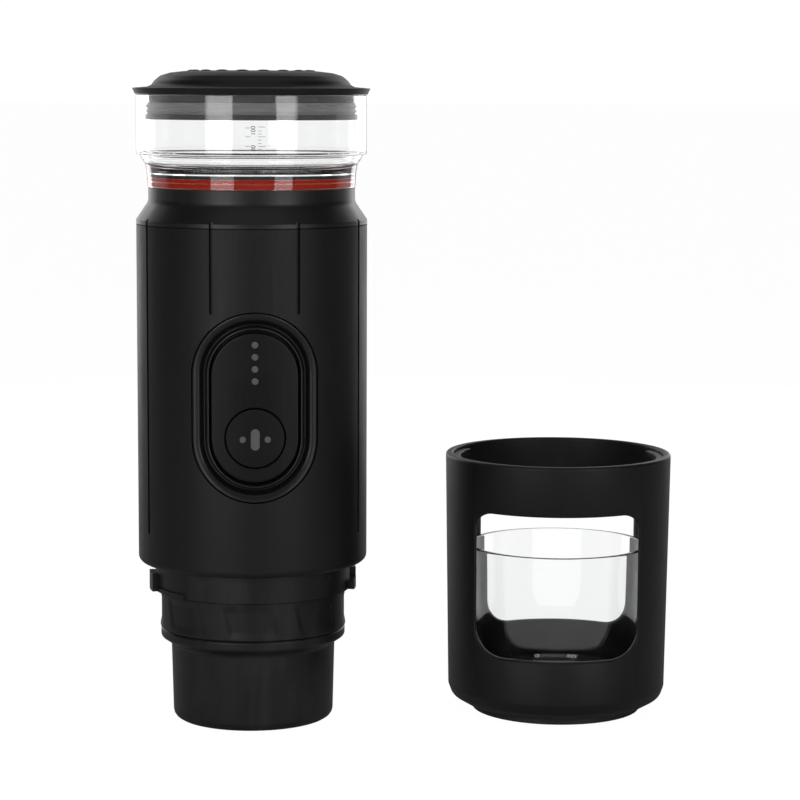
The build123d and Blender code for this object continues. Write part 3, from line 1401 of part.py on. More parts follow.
# ================================ cup sleeve and cup
# -------------------------------- sleeve: drafted tube with two windows and inner rails
rail_top = sleeve_height - sleeve_rail_drop
rail_bottom = rail_top - sleeve_rail_thickness
sleeve_corner_top = foot_height + sleeve_corner_height
with BuildPart() as cup_holder:
    turned(
        (0, foot_height),
        (sleeve_underside_radius, foot_height),
        (sleeve_base_radius - 1.1, foot_height + 0.45 * sleeve_corner_height),
        (sleeve_base_radius, sleeve_corner_top),
        (sleeve_top_radius, sleeve_height),
        (sleeve_bore, sleeve_height),
        (sleeve_base_radius - sleeve_wall, sleeve_corner_top + 1.5),
        (sleeve_underside_radius, sleeve_floor_top),
        (0, sleeve_floor_top),
        about=sleeve_plane,
    )
    window_plane = Plane(origin=sleeve_plane.origin, x_dir=sleeve_plane.x_dir, z_dir=-sleeve_plane.y_dir)
    with BuildSketch(window_plane) as window:
        with Locations((0, (window_bottom + window_top) / 2)):
            Rectangle(2 * window_half_width, window_top - window_bottom)
        fillet(window.vertices().group_by(Axis.Y)[0], radius=window_lower_corner)
        fillet(window.vertices().group_by(Axis.Y)[-1], radius=window_upper_corner)
    extrude(window.sketch, amount=2 * sleeve_top_radius, both=True, mode=Mode.SUBTRACT)
    for side in (0, 180):
        turn = radians(side - sleeve_rail_sweep / 2 + sleeve_turn)
        rail_plane = Plane(origin=sleeve_plane.origin, x_dir=(cos(turn), sin(turn), 0),
                           z_dir=(sin(turn), -cos(turn), 0))
        with BuildSketch(rail_plane) as rail:
            with BuildLine():
                Polyline(
                    (sleeve_bore - sleeve_rail_reach, rail_bottom),
                    (sleeve_bore + sleeve_wall / 2, rail_bottom),
                    (sleeve_bore + sleeve_wall / 2, rail_top),
                    (sleeve_bore - sleeve_rail_reach, rail_top),
                    close=True,
                )
            make_face()
        revolve(rail.sketch, axis=Axis(sleeve_plane.origin, (0, 0, 1)), revolution_arc=sleeve_rail_sweep)
cup_holder.part.label = "cup_holder"
export_step(cup_holder.part, "parts/cup_holder.step")

with BuildPart() as holder_foot:
    turned((foot_bore, 0), (foot_radius, 0), (foot_radius, foot_height), (foot_bore, foot_height),
           about=sleeve_plane)
holder_foot.part.label = "holder_foot"
export_step(holder_foot.part, "parts/holder_foot.step")

# -------------------------------- cup: clear, tapered, with a thick base
cup_top = cup_bottom + cup_height
with BuildPart() as cup:
    turned(
        (0, cup_bottom),
        (cup_base_radius, cup_bottom),
        (cup_rim_radius, cup_top),
        (cup_rim_radius - cup_wall, cup_top),
        (cup_base_radius - cup_wall, cup_bottom + cup_base),
        (0, cup_bottom + cup_base),
        about=sleeve_plane,
    )
    rings = cup.edges().filter_by(GeomType.CIRCLE).group_by(Axis.Z)
    fillet(rings[0], radius=cup_corner)
    fillet(cup.edges().filter_by(GeomType.CIRCLE).group_by(Axis.Z)[2], radius=cup_corner - cup_wall)
cup.part.label = "cup"
export_step(cup.part, "parts/cup.step")
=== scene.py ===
import math

import bmesh
import bpy
from mathutils import Matrix, Vector
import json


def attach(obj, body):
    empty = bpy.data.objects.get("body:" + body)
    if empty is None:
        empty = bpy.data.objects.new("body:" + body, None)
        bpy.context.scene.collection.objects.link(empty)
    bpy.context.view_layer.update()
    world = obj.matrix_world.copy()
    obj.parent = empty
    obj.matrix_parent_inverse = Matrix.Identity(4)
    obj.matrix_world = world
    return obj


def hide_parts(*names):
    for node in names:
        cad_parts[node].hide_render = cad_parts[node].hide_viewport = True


# Looks of the battery espresso maker, its cup sleeve and its clear cup.
# Sizes are in millimetres and become metres where a mesh is made. +Z is up, the panel faces -Y.

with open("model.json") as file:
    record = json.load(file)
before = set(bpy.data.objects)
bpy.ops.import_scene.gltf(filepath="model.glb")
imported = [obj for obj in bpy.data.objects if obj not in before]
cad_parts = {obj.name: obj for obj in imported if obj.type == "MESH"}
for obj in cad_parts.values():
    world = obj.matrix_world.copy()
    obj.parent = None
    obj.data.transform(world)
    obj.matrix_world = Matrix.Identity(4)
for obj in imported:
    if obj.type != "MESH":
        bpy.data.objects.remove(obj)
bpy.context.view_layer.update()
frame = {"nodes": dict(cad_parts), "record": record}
nodes = frame["nodes"]

MM = 0.001
UPRIGHT = {"cent": (0, 0, 0), "axis": (0, 0, 1), "dvec": (0, 0, 0)}  # what a spin turns about
scene = bpy.context.scene

# ---------------------------------------------------------------- sizes
soft_angle = 32  # degrees between two faces up to which they are shaded as one surface
corner_margin = 0.12  # how far from a corner its soft shading reaches

lid_core_radius = 27.95
lid_seal_low = 190.4
lid_seal_high = 193.9
pip_circle = 18.5
pip_height = 203.45
pip_count = 18
tank_radius = 35.85
seal_bore = 27.0
seal_radius = 31.32
print_proud = 0.01  # how far the scale's print lies out of the tank's wall

body_radius = 36.0
panel_centre = 102.5
panel_half_width = 19.0
panel_half_length = 28.85
panel_steps = 96
plate_half_width = 13.1
plate_half_length = 22.6
plate_front = 34.6
plate_back = 31.2
crown_radius = 60.0
button_centre = 93.25
button_bore = 9.4
light_heights = (121.6, 117.93, 114.26, 110.59)
light_radius = 1.03

outlet_floor = 2.4
outlet_hole_radius = 1.0
outlet_hole_circle = 6.0
outlet_hole_count = 6

sleeve_middle = (97.97, 5.20)
sleeve_turn = -7.93
sleeve_side_low = 7.7
sleeve_top = 82.9
sleeve_low_radius = 34.8
sleeve_draft = 1.2  # how much wider the side is at the top
sleeve_wall = 2.4
window_half_width = 25.2
window_low = 21.7
window_high = 67.1
window_corners = (8.5, 8.5, 5.0, 5.0)
window_rounding = 1.0


# ---------------------------------------------------------------- making a piece
def piece_from(bm, name, smooth_up_to=soft_angle):
    """Turn a bmesh into an object whose faces are smooth up to an angle."""
    mesh = bpy.data.meshes.new(name)
    for face in bm.faces:
        face.smooth = True
    bm.to_mesh(mesh)
    bm.free()
    mesh.set_sharp_from_angle(angle=math.radians(smooth_up_to))
    piece = bpy.data.objects.new(name, mesh)
    scene.collection.objects.link(piece)
    return piece


def fit(piece, body, finish, slot, *stands_for):
    """Give a piece its finish and its body, and hide the CAD nodes that it stands for; the slot is
    not used.
    """
    piece.data.materials.clear()
    piece.data.materials.append(finishes[finish])
    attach(piece, body)
    if stands_for:
        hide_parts(*stands_for)


def hold_corners(bm, margin):
    """Split long edges close to both their ends, so that smooth shading bends only there."""
    for edge in [edge for edge in bm.edges if edge.calc_length() > 6 * margin]:
        start, end = edge.verts
        near = bmesh.utils.edge_split(edge, start, margin / edge.calc_length())[1]
        rest = next(part for part in near.link_edges if end in part.verts)
        bmesh.utils.edge_split(rest, end, margin / rest.calc_length())


def soft_step(value):
    """0 below 0, 1 above 1, and a smooth rise between them."""
    held = min(1.0, max(0.0, value))
    return held * held * (3 - 2 * held)


def turned(outline, steps=180):
    """A bmesh turned about the upright axis from (radius, height, rounding) corners."""
    bm = bmesh.new()
    corners = [bm.verts.new((radius * MM, 0, height * MM)) for radius, height, _ in outline]
    bm.faces.new(corners)
    places = [corner.co.copy() for corner in corners]
    for i, corner in enumerate(corners):
        rounding = outline[i][2]
        if rounding:
            back = (places[i - 1] - places[i]).normalized()
            ahead = (places[(i + 1) % len(places)] - places[i]).normalized()
            reach = rounding * MM / math.tan(back.angle(ahead) / 2)
            bmesh.ops.bevel(bm, geom=[corner], offset=reach, offset_type="OFFSET",
                            affect="VERTICES", segments=4, profile=0.5, material=-1,
                            clamp_overlap=False)
    bmesh.ops.delete(bm, geom=bm.faces[:], context="FACES_ONLY")
    on_axis = [edge for edge in bm.edges if all(abs(v.co.x) < 1e-9 for v in edge.verts)]
    bmesh.ops.delete(bm, geom=on_axis, context="EDGES")
    hold_corners(bm, corner_margin * MM)
    bmesh.ops.spin(bm, geom=bm.verts[:] + bm.edges[:], angle=2 * math.pi, steps=steps,
                   use_merge=True, **UPRIGHT)
    bmesh.ops.remove_doubles(bm, verts=bm.verts, dist=1e-7)
    bmesh.ops.recalc_face_normals(bm, faces=bm.faces)
    return bm


def arcs(profile, middles, half_angle, steps):
    """A bmesh of arcs about the upright axis, all with one profile of (radius, height) corners."""
    bm = bmesh.new()
    for middle in middles:
        start = Matrix.Rotation(math.radians(middle - half_angle), 4, "Z")
        end = bm.faces.new([bm.verts.new(start @ Vector((radius * MM, 0, height * MM)))
                            for radius, height in profile])
        bmesh.ops.spin(bm, geom=[end], angle=math.radians(2 * half_angle), steps=steps, **UPRIGHT)
    bmesh.ops.recalc_face_normals(bm, faces=bm.faces)
    return bm


def moved_to_sleeve(bm):
    """Move a bmesh made on the machine's axis to the sleeve's place."""
    place = Matrix.Translation((sleeve_middle[0] * MM, sleeve_middle[1] * MM, 0))
    turn = Matrix.Rotation(math.radians(sleeve_turn), 4, "Z")
    bmesh.ops.transform(bm, matrix=place @ turn, verts=bm.verts)
    return bm


def drill(radius, length, segments, place):
    """A cutter for a round hole: a cylinder about the upright axis, moved to its place."""
    bm = bmesh.new()
    bmesh.ops.create_cone(bm, cap_ends=True, segments=segments, radius1=radius * MM,
                          radius2=radius * MM, depth=length * MM, matrix=place)
    return piece_from(bm, "drill")


def cut(piece, cutters):
    """Cut pieces of other meshes out of a piece, and leave no cutter behind."""
    for cutter in cutters:
        knife = piece.modifiers.new("cut", "BOOLEAN")
        knife.operation = "DIFFERENCE"
        knife.solver = "EXACT"
        knife.object = cutter
    depsgraph = bpy.context.evaluated_depsgraph_get()
    mesh = bpy.data.meshes.new_from_object(piece.evaluated_get(depsgraph))
    old = piece.data
    piece.modifiers.clear()
    piece.data = mesh
    mesh.name = piece.name
    mesh.set_sharp_from_angle(angle=math.radians(soft_angle))
    bpy.data.meshes.remove(old)
    for cutter in cutters:
        bpy.data.objects.remove(cutter)
    return piece


def ease_edges(piece, width, above=30, segments=3):
    """Round a piece's sharp edges, as a mould leaves them."""
    round_over = piece.modifiers.new("eased edges", "BEVEL")
    round_over.limit_method = "ANGLE"
    round_over.angle_limit = math.radians(above)
    round_over.width = width * MM
    round_over.segments = segments
    evened = piece.modifiers.new("even shading", "WEIGHTED_NORMAL")
    evened.keep_sharp = True
    return piece


def draw_in(piece, part, middle):
    """Shrink a front piece across and up to a part of its size, about a height on its middle."""
    to_middle = Matrix.Translation((0, 0, middle * MM))
    from_middle = Matrix.Translation((0, 0, -middle * MM))
    piece.data.transform(to_middle @ Matrix.Diagonal((part, 1, part, 1)) @ from_middle)


def eased_copy(node, name, width, above=30):
    """A copy of a CAD node's mesh, joined up and with its sharp edges rounded."""
    bm = bmesh.new()
    bm.from_mesh(nodes[node].data)
    bmesh.ops.remove_doubles(bm, verts=bm.verts, dist=1e-7)
    bmesh.ops.dissolve_limit(bm, angle_limit=math.radians(0.5), verts=bm.verts, edges=bm.edges)
    return ease_edges(piece_from(bm, name), width, above)


# ---------------------------------------------------------------- effects that finishes share
def new_group(name, values, outputs):
    """A shader node group with named number inputs and named outputs."""
    group = bpy.data.node_groups.new(name, "ShaderNodeTree")
    for label, value in values.items():
        socket = group.interface.new_socket(label, in_out="INPUT", socket_type="NodeSocketFloat")
        socket.default_value = value
    for label in outputs:
        group.interface.new_socket(label, in_out="OUTPUT", socket_type="NodeSocketFloat")
    return group, group.nodes.new("NodeGroupInput"), group.nodes.new("NodeGroupOutput")


def maths(tree, operation, first, second):
    """A maths node between two sockets or numbers; returns its output."""
    node = tree.nodes.new("ShaderNodeMath")
    node.operation = operation
    for i, value in enumerate((first, second)):
        if isinstance(value, (int, float)):
            node.inputs[i].default_value = value
        else:
            tree.links.new(value, node.inputs[i])
    return node.outputs[0]


def held_to(tree, value, top):
    """A value that is kept from going below 0 or above a top."""
    return maths(tree, "MINIMUM", maths(tree, "MAXIMUM", value, 0.0), top)


def speckle(tree, scale, detail, stretch=(1, 1, 1), roughness=0.55):
    """Noise on the piece's own coordinates; stretch below 1 draws it out along that axis."""
    coordinates = tree.nodes.new("ShaderNodeTexCoord")
    mapping = tree.nodes.new("ShaderNodeMapping")
    mapping.inputs["Scale"].default_value = stretch
    noise = tree.nodes.new("ShaderNodeTexNoise")
    noise.inputs["Detail"].default_value = detail
    noise.inputs["Roughness"].default_value = roughness
    tree.links.new(coordinates.outputs["Object"], mapping.inputs["Vector"])
    tree.links.new(mapping.outputs["Vector"], noise.inputs["Vector"])
    if isinstance(scale, (int, float)):
        noise.inputs["Scale"].default_value = scale
    else:
        tree.links.new(scale, noise.inputs["Scale"])
    return noise.outputs["Fac"]


def make_grain_group():
    """Fine mould grain: a height, and a roughness that changes a little with it."""
    group, given, made = new_group(
        "mould grain", {"Grain": 2200.0, "Roughness": 0.4, "Spread": 0.05}, ("Height", "Roughness"))
    grain = speckle(group, given.outputs["Grain"], detail=3.0)
    cloud = speckle(group, scale=55.0, detail=2.0)
    both = maths(group, "ADD", maths(group, "MULTIPLY", grain, 0.4),
                 maths(group, "MULTIPLY", cloud, 0.6))
    swing = maths(group, "MULTIPLY", maths(group, "SUBTRACT", both, 0.5), given.outputs["Spread"])
    rough = maths(group, "ADD", given.outputs["Roughness"], maths(group, "MULTIPLY", swing, 4.0))
    group.links.new(grain, made.inputs["Height"])
    group.links.new(rough, made.inputs["Roughness"])
    return group


def make_handling_group():
    """Where hands and packing have left a faint film: 0 clean, 1 marked."""
    clean_up_to, contrast = 0.24, 7.0
    group, given, made = new_group("handling film", {"Amount": 0.5, "Scale": 38.0}, ("Mask",))
    film = speckle(group, given.outputs["Scale"], detail=6.0, roughness=0.68)
    streak = speckle(group, scale=140.0, detail=3.0, stretch=(1.0, 1.0, 0.16))
    lifted = maths(group, "SUBTRACT", maths(group, "MULTIPLY", film, streak), clean_up_to)
    mask = held_to(group, maths(group, "MULTIPLY", lifted, contrast), 1.0)
    group.links.new(maths(group, "MULTIPLY", mask, given.outputs["Amount"]), made.inputs["Mask"])
    return group


def make_edge_group():
    """Edges that the mould and the hand have polished, from how the surface bends."""
    nearly_flat, contrast = 0.515, 14.0
    group, given, made = new_group("polished edges", {"Amount": 1.0}, ("Mask",))
    geometry = group.nodes.new("ShaderNodeNewGeometry")
    bend = maths(group, "SUBTRACT", geometry.outputs["Pointiness"], nearly_flat)
    mask = held_to(group, maths(group, "MULTIPLY", bend, contrast), 1.0)
    group.links.new(maths(group, "MULTIPLY", mask, given.outputs["Amount"]), made.inputs["Mask"])
    return group


def make_brushed_group():
    """Fine brushing or rolling marks; a stretch below 1 draws them out along that axis."""
    roughness_swing = 0.16
    group, given, made = new_group(
        "brushed metal", {"Grain": 900.0, "Stretch X": 1.0, "Stretch Y": 1.0, "Stretch Z": 0.02,
                          "Roughness": 0.3}, ("Height", "Roughness"))
    stretch = group.nodes.new("ShaderNodeCombineXYZ")
    for axis in "XYZ":
        group.links.new(given.outputs["Stretch " + axis], stretch.inputs[axis])
    coordinates = group.nodes.new("ShaderNodeTexCoord")
    mapping = group.nodes.new("ShaderNodeMapping")
    group.links.new(coordinates.outputs["Object"], mapping.inputs["Vector"])
    group.links.new(stretch.outputs["Vector"], mapping.inputs["Scale"])
    noise = group.nodes.new("ShaderNodeTexNoise")
    noise.inputs["Detail"].default_value = 4.0
    group.links.new(mapping.outputs["Vector"], noise.inputs["Vector"])
    group.links.new(given.outputs["Grain"], noise.inputs["Scale"])
    height = noise.outputs["Fac"]
    swing = maths(group, "MULTIPLY", maths(group, "SUBTRACT", height, 0.5), roughness_swing)
    rough = maths(group, "ADD", swing, given.outputs["Roughness"])
    group.links.new(height, made.inputs["Height"])
    group.links.new(rough, made.inputs["Roughness"])
    return group


def make_wave_group():
    """The faint waviness of clear moulded plastic, and a roughness that a film raises a little."""
    film_dulls = 0.05
    group, given, made = new_group(
        "moulded wave", {"Film": 0.0, "Roughness": 0.012}, ("Height", "Roughness"))
    wave = speckle(group, scale=90.0, detail=1.0, stretch=(1.0, 1.0, 0.5))
    duller = maths(group, "MULTIPLY", given.outputs["Film"], film_dulls)
    rough = maths(group, "ADD", duller, given.outputs["Roughness"])
    group.links.new(wave, made.inputs["Height"])
    group.links.new(rough, made.inputs["Roughness"])
    return group


def make_wear_group():
    """A roughness that a film of handling dulls and that polished edges shine up."""
    film_dulls, edges_shine = 0.10, 0.12
    group, given, made = new_group(
        "wear", {"Roughness": 0.4, "Film": 0.0, "Edges": 0.0}, ("Roughness",))
    duller = maths(group, "MULTIPLY", given.outputs["Film"], film_dulls)
    shinier = maths(group, "MULTIPLY", given.outputs["Edges"], edges_shine)
    dulled = maths(group, "ADD", given.outputs["Roughness"], duller)
    group.links.new(maths(group, "SUBTRACT", dulled, shinier), made.inputs["Roughness"])
    return group


grain_group = make_grain_group()
handling_group = make_handling_group()
edge_group = make_edge_group()
brushed_group = make_brushed_group()
wave_group = make_wave_group()
wear_group = make_wear_group()


# ---------------------------------------------------------------- finishes
finishes = {}


def start_finish(name):
    """Start a material and note it under its name; returns its node tree and its shader."""
    finish = bpy.data.materials.new(name)
    finish.use_nodes = True
    finishes[name] = finish
    return finish.node_tree, finish.node_tree.nodes["Principled BSDF"]


def use_group(tree, group, **values):
    """Place a shared effect in a material with its own values."""
    node = tree.nodes.new("ShaderNodeGroup")
    node.node_tree = group
    for label, value in values.items():
        node.inputs[label].default_value = value
    return node


def blend_colour(tree, mask, low, high):
    """A colour that goes from low to high with a mask."""
    mix = tree.nodes.new("ShaderNodeMix")
    mix.data_type = "RGBA"
    mix.inputs["A"].default_value = (*low, 1)
    mix.inputs["B"].default_value = (*high, 1)
    tree.links.new(mask, mix.inputs["Factor"])
    return mix.outputs["Result"]


def bump(tree, shader, height, strength, distance):
    """Raise a surface by a height in metres."""
    node = tree.nodes.new("ShaderNodeBump")
    node.inputs["Strength"].default_value = strength
    node.inputs["Distance"].default_value = distance
    tree.links.new(height, node.inputs["Height"])
    tree.links.new(node.outputs["Normal"], shader.inputs["Normal"])


def moulded(name, colour, film, roughness, spread=0.05, grain=2200.0, depth=0.12, marks=0.5,
            specular=0.5, subsurface=0.0):
    """Moulded plastic or rubber with its grain, its handling film and its polished edges."""
    tree, shader = start_finish(name)
    surface = use_group(tree, grain_group, Grain=grain, Roughness=roughness, Spread=spread)
    handled = use_group(tree, handling_group, Amount=marks)
    polished = use_group(tree, edge_group, Amount=0.6)
    shown = blend_colour(tree, handled.outputs["Mask"], colour, film)
    tree.links.new(shown, shader.inputs["Base Color"])
    worn = use_group(tree, wear_group)
    tree.links.new(surface.outputs["Roughness"], worn.inputs["Roughness"])
    tree.links.new(handled.outputs["Mask"], worn.inputs["Film"])
    tree.links.new(polished.outputs["Mask"], worn.inputs["Edges"])
    tree.links.new(worn.outputs["Roughness"], shader.inputs["Roughness"])
    bump(tree, shader, surface.outputs["Height"], depth, distance=0.0002)
    shader.inputs["Specular IOR Level"].default_value = specular
    shader.inputs["Subsurface Weight"].default_value = subsurface
    shader.inputs["Subsurface Scale"].default_value = 0.002


def clear(name, tint):
    """Clear moulded plastic: a faint film and a faint waviness in its surface."""
    tree, shader = start_finish(name)
    handled = use_group(tree, handling_group, Amount=0.5, Scale=30.0)
    wave = use_group(tree, wave_group)
    tree.links.new(handled.outputs["Mask"], wave.inputs["Film"])
    brighter = tuple(min(1.0, c * 1.01) for c in tint)
    shown = blend_colour(tree, wave.outputs["Height"], tint, brighter)
    tree.links.new(shown, shader.inputs["Base Color"])
    tree.links.new(wave.outputs["Roughness"], shader.inputs["Roughness"])
    bump(tree, shader, wave.outputs["Height"], strength=0.06, distance=0.0004)
    shader.inputs["Transmission Weight"].default_value = 1.0
    shader.inputs["IOR"].default_value = 1.49


def metal(name, colour, roughness, along=(1.0, 1.0, 0.02), grain=900.0):
    """Bare metal with fine brushing drawn out along an axis."""
    tree, shader = start_finish(name)
    brushed = use_group(tree, brushed_group, Grain=grain, Roughness=roughness)
    for axis, stretch in zip("XYZ", along):
        brushed.inputs["Stretch " + axis].default_value = stretch
    handled = use_group(tree, handling_group, Amount=0.6)
    worn = use_group(tree, wear_group)
    tree.links.new(brushed.outputs["Roughness"], worn.inputs["Roughness"])
    tree.links.new(handled.outputs["Mask"], worn.inputs["Film"])
    tree.links.new(worn.outputs["Roughness"], shader.inputs["Roughness"])
    darker = tuple(0.82 * c for c in colour)
    shown = blend_colour(tree, brushed.outputs["Height"], darker, colour)
    tree.links.new(shown, shader.inputs["Base Color"])
    bump(tree, shader, brushed.outputs["Height"], strength=0.10, distance=0.0001)
    shader.inputs["Metallic"].default_value = 1.0


# moulded finishes: name, colour, colour under a film of handling, roughness
moulded("shell_black", (0.0060, 0.0060, 0.0062), (0.009, 0.009, 0.009), 0.50,
        spread=0.03, depth=0.10, specular=0.28)
moulded("tier_black", (0.0085, 0.0085, 0.0087), (0.018, 0.018, 0.018), 0.46,
        spread=0.06, depth=0.08, marks=1.0, specular=0.30)
moulded("panel_black", (0.0044, 0.0044, 0.0045), (0.006, 0.006, 0.006), 0.46,
        spread=0.03, depth=0.05, marks=0.3, specular=0.22)
moulded("bezel_black", (0.0052, 0.0052, 0.0053), (0.007, 0.007, 0.007), 0.38,
        spread=0.03, depth=0.04, marks=0.3, specular=0.42)
moulded("collar_black", (0.0058, 0.0058, 0.0060), (0.009, 0.009, 0.009), 0.40,
        spread=0.04, depth=0.07, specular=0.44)
moulded("lid_black", (0.0055, 0.0055, 0.0056), (0.009, 0.009, 0.009), 0.50,
        spread=0.03, depth=0.08, specular=0.28)
clear("clear_plastic", (0.962, 0.966, 0.966))
clear("clear_cup", (0.98, 0.985, 0.985))
moulded("light_window", (0.105, 0.105, 0.108), (0.13, 0.13, 0.135), 0.40,
        spread=0.02, depth=0.02)
moulded("orange_silicone", (0.37, 0.014, 0.001), (0.41, 0.022, 0.003), 0.55,
        depth=0.05, subsurface=0.05, specular=0.06)
moulded("grey_silicone", (0.16, 0.16, 0.165), (0.20, 0.20, 0.20), 0.5,
        depth=0.08, subsurface=0.05)
moulded("black_silicone", (0.012, 0.012, 0.012), (0.020, 0.020, 0.020), 0.55,
        depth=0.15, marks=0.8)
moulded("tube_silicone", (0.66, 0.66, 0.63), (0.72, 0.72, 0.70), 0.4,
        depth=0.05, subsurface=0.15)
moulded("lead_red", (0.42, 0.02, 0.015), (0.50, 0.05, 0.04), 0.45, depth=0.05)
moulded("frame_plastic", (0.060, 0.063, 0.067), (0.085, 0.088, 0.090), 0.5, depth=0.18)
moulded("gear_plastic", (0.70, 0.69, 0.64), (0.76, 0.75, 0.70), 0.42,
        depth=0.06, subsurface=0.1)
moulded("heater_ceramic", (0.66, 0.65, 0.60), (0.74, 0.73, 0.70), 0.7,
        grain=1400.0, depth=0.3)
moulded("chip_black", (0.015, 0.015, 0.016), (0.030, 0.030, 0.030), 0.5, depth=0.15)
moulded("led_white", (0.78, 0.78, 0.70), (0.82, 0.82, 0.76), 0.35,
        depth=0.02, subsurface=0.1)
moulded("cell_sleeve", (0.03, 0.12, 0.26), (0.05, 0.16, 0.32), 0.22,
        depth=0.04, marks=0.8)
moulded("board_green", (0.010, 0.10, 0.035), (0.020, 0.15, 0.05), 0.30,
        grain=700.0, depth=0.10)
metal("steel", (0.60, 0.60, 0.59), 0.26)
metal("screw_steel", (0.66, 0.66, 0.66), 0.22, along=(1.0, 1.0, 1.0), grain=1500.0)
metal("nickel_strip", (0.66, 0.64, 0.60), 0.30, along=(0.05, 1.0, 1.0))
metal("motor_steel", (0.46, 0.46, 0.46), 0.34)
moulded("scale_print", (0.035, 0.035, 0.036), (0.05, 0.05, 0.05), 0.5,
        depth=0.03, marks=0.2)

for part in frame["record"]["subparts"]:
    for mesh_slot in nodes[part["node"]].material_slots:
        mesh_slot.material = finishes[part["material_slot"]]


# ---------------------------------------------------------------- lid
def make_lid():
    """Domed cap with a sharp flange, a ring of low grip pips, its neck and its hollow core."""
    neck_radius, core_bore = 31.75, 25.95
    lid = piece_from(turned((
        (0, 203.8, 0), (16.0, 203.75, 1.0), (20.8, 203.55, 2.0), (25.2, 203.05, 3.0),
        (28.3, 202.1, 2.5), (30.1, 200.6, 2.0), (31.0, 199.3, 1.0), (32.2, 198.75, 0.8),
        (37.0, 198.35, 0.15), (36.05, 196.45, 0.2), (neck_radius, 196.4, 0.1),
        (neck_radius, 193.95, 0.3), (lid_core_radius, lid_seal_high, 0),
        (lid_core_radius, lid_seal_low, 0), (core_bore, lid_seal_low, 0),
        (core_bore, 201.1, 0.5), (0, 201.9, 0)), steps=240), "lid_dome")
    pips = bmesh.new()
    bmesh.ops.create_uvsphere(pips, u_segments=24, v_segments=12, radius=1.0 * MM)
    bmesh.ops.scale(pips, vec=(2.3, 1.5, 0.55), verts=pips.verts)
    bmesh.ops.translate(pips, vec=(0, -pip_circle * MM, pip_height * MM), verts=pips.verts)
    half_a_step = Matrix.Rotation(math.radians(180 / pip_count), 3, "Z")
    bmesh.ops.rotate(pips, cent=(0, 0, 0), matrix=half_a_step, verts=pips.verts)
    bmesh.ops.spin(pips, geom=pips.verts[:] + pips.edges[:] + pips.faces[:],
                   angle=2 * math.pi * (pip_count - 1) / pip_count, steps=pip_count - 1,
                   use_duplicate=True, **UPRIGHT)
    grips = piece_from(pips, "lid_grip_pips")
    fit(lid, "lid", "lid_black", "shell_black", "lid_cap")
    fit(grips, "lid", "lid_black", "shell_black")


def make_lid_seal():
    """Grey silicone band with two lips that reach out to the tank's wall."""
    band_radius, lip_radius = 32.3, 33.0
    bm = turned((
        (lid_core_radius, lid_seal_low, 0), (band_radius, lid_seal_low, 0.2),
        (band_radius, 190.85, 0.1), (lip_radius, 191.35, 0.25), (band_radius, 191.85, 0.1),
        (band_radius, 192.35, 0.1), (lip_radius, 192.85, 0.25), (band_radius, 193.35, 0.1),
        (band_radius, lid_seal_high, 0.2), (lid_core_radius, lid_seal_high, 0)))
    fit(piece_from(bm, "lid_seal_band"), "lid", "grey_silicone", "grey_silicone", "lid_seal")


# ---------------------------------------------------------------- tank
def make_tank():
    """Clear tank: a wide wall over a step, a concave cove, a skirt, a floor and its spigot."""
    bm = turned((
        (25.2, 173.1, 0.4), (25.2, 163.4, 0.3), (26.7, 163.4, 0.3), (26.7, 172.05, 0.2),
        (31.3, 172.05, 0.2), (31.3, 167.8, 0.2), (32.3, 167.8, 0.2), (32.6, 172.4, 0.8),
        (33.0, 174.8, 1.5), (34.2, 176.7, 1.5), (34.7, 178.0, 0.3), (tank_radius, 178.0, 0.5),
        (tank_radius, 196.3, 0.3), (33.25, 196.3, 0.3), (33.25, 179.0, 1.0), (32.5, 176.6, 2.0),
        (30.9, 174.1, 1.5)), steps=240)
    fit(piece_from(bm, "clear_tank", 40), "tank", "clear_plastic", "clear_plastic", "water_tank")


def make_tank_seal():
    """Orange silicone ring with two rounded lobes, and a thin black ring that lies on top of it."""
    bm = turned((
        (seal_bore, 167.5, 0.2), (30.5, 167.5, 0.2), (30.6, 168.05, 0.2),
        (seal_radius, 168.2, 0.15), (seal_radius, 169.55, 0.15), (31.0, 169.65, 0.05),
        (31.0, 169.75, 0.05), (seal_radius, 169.85, 0.15), (seal_radius, 170.9, 0.1),
        (seal_bore, 170.9, 0.2)))
    fit(piece_from(bm, "tank_seal_ring"), "machine", "orange_silicone", "orange_silicone",
        "tank_seal")
    bm = turned((
        (seal_bore, 170.95, 0.1), (seal_radius, 170.95, 0.1), (seal_radius, 172.0, 0.1),
        (seal_bore, 172.0, 0.2)))
    fit(piece_from(bm, "seal_top_black_ring"), "machine", "tier_black", "tier_black")


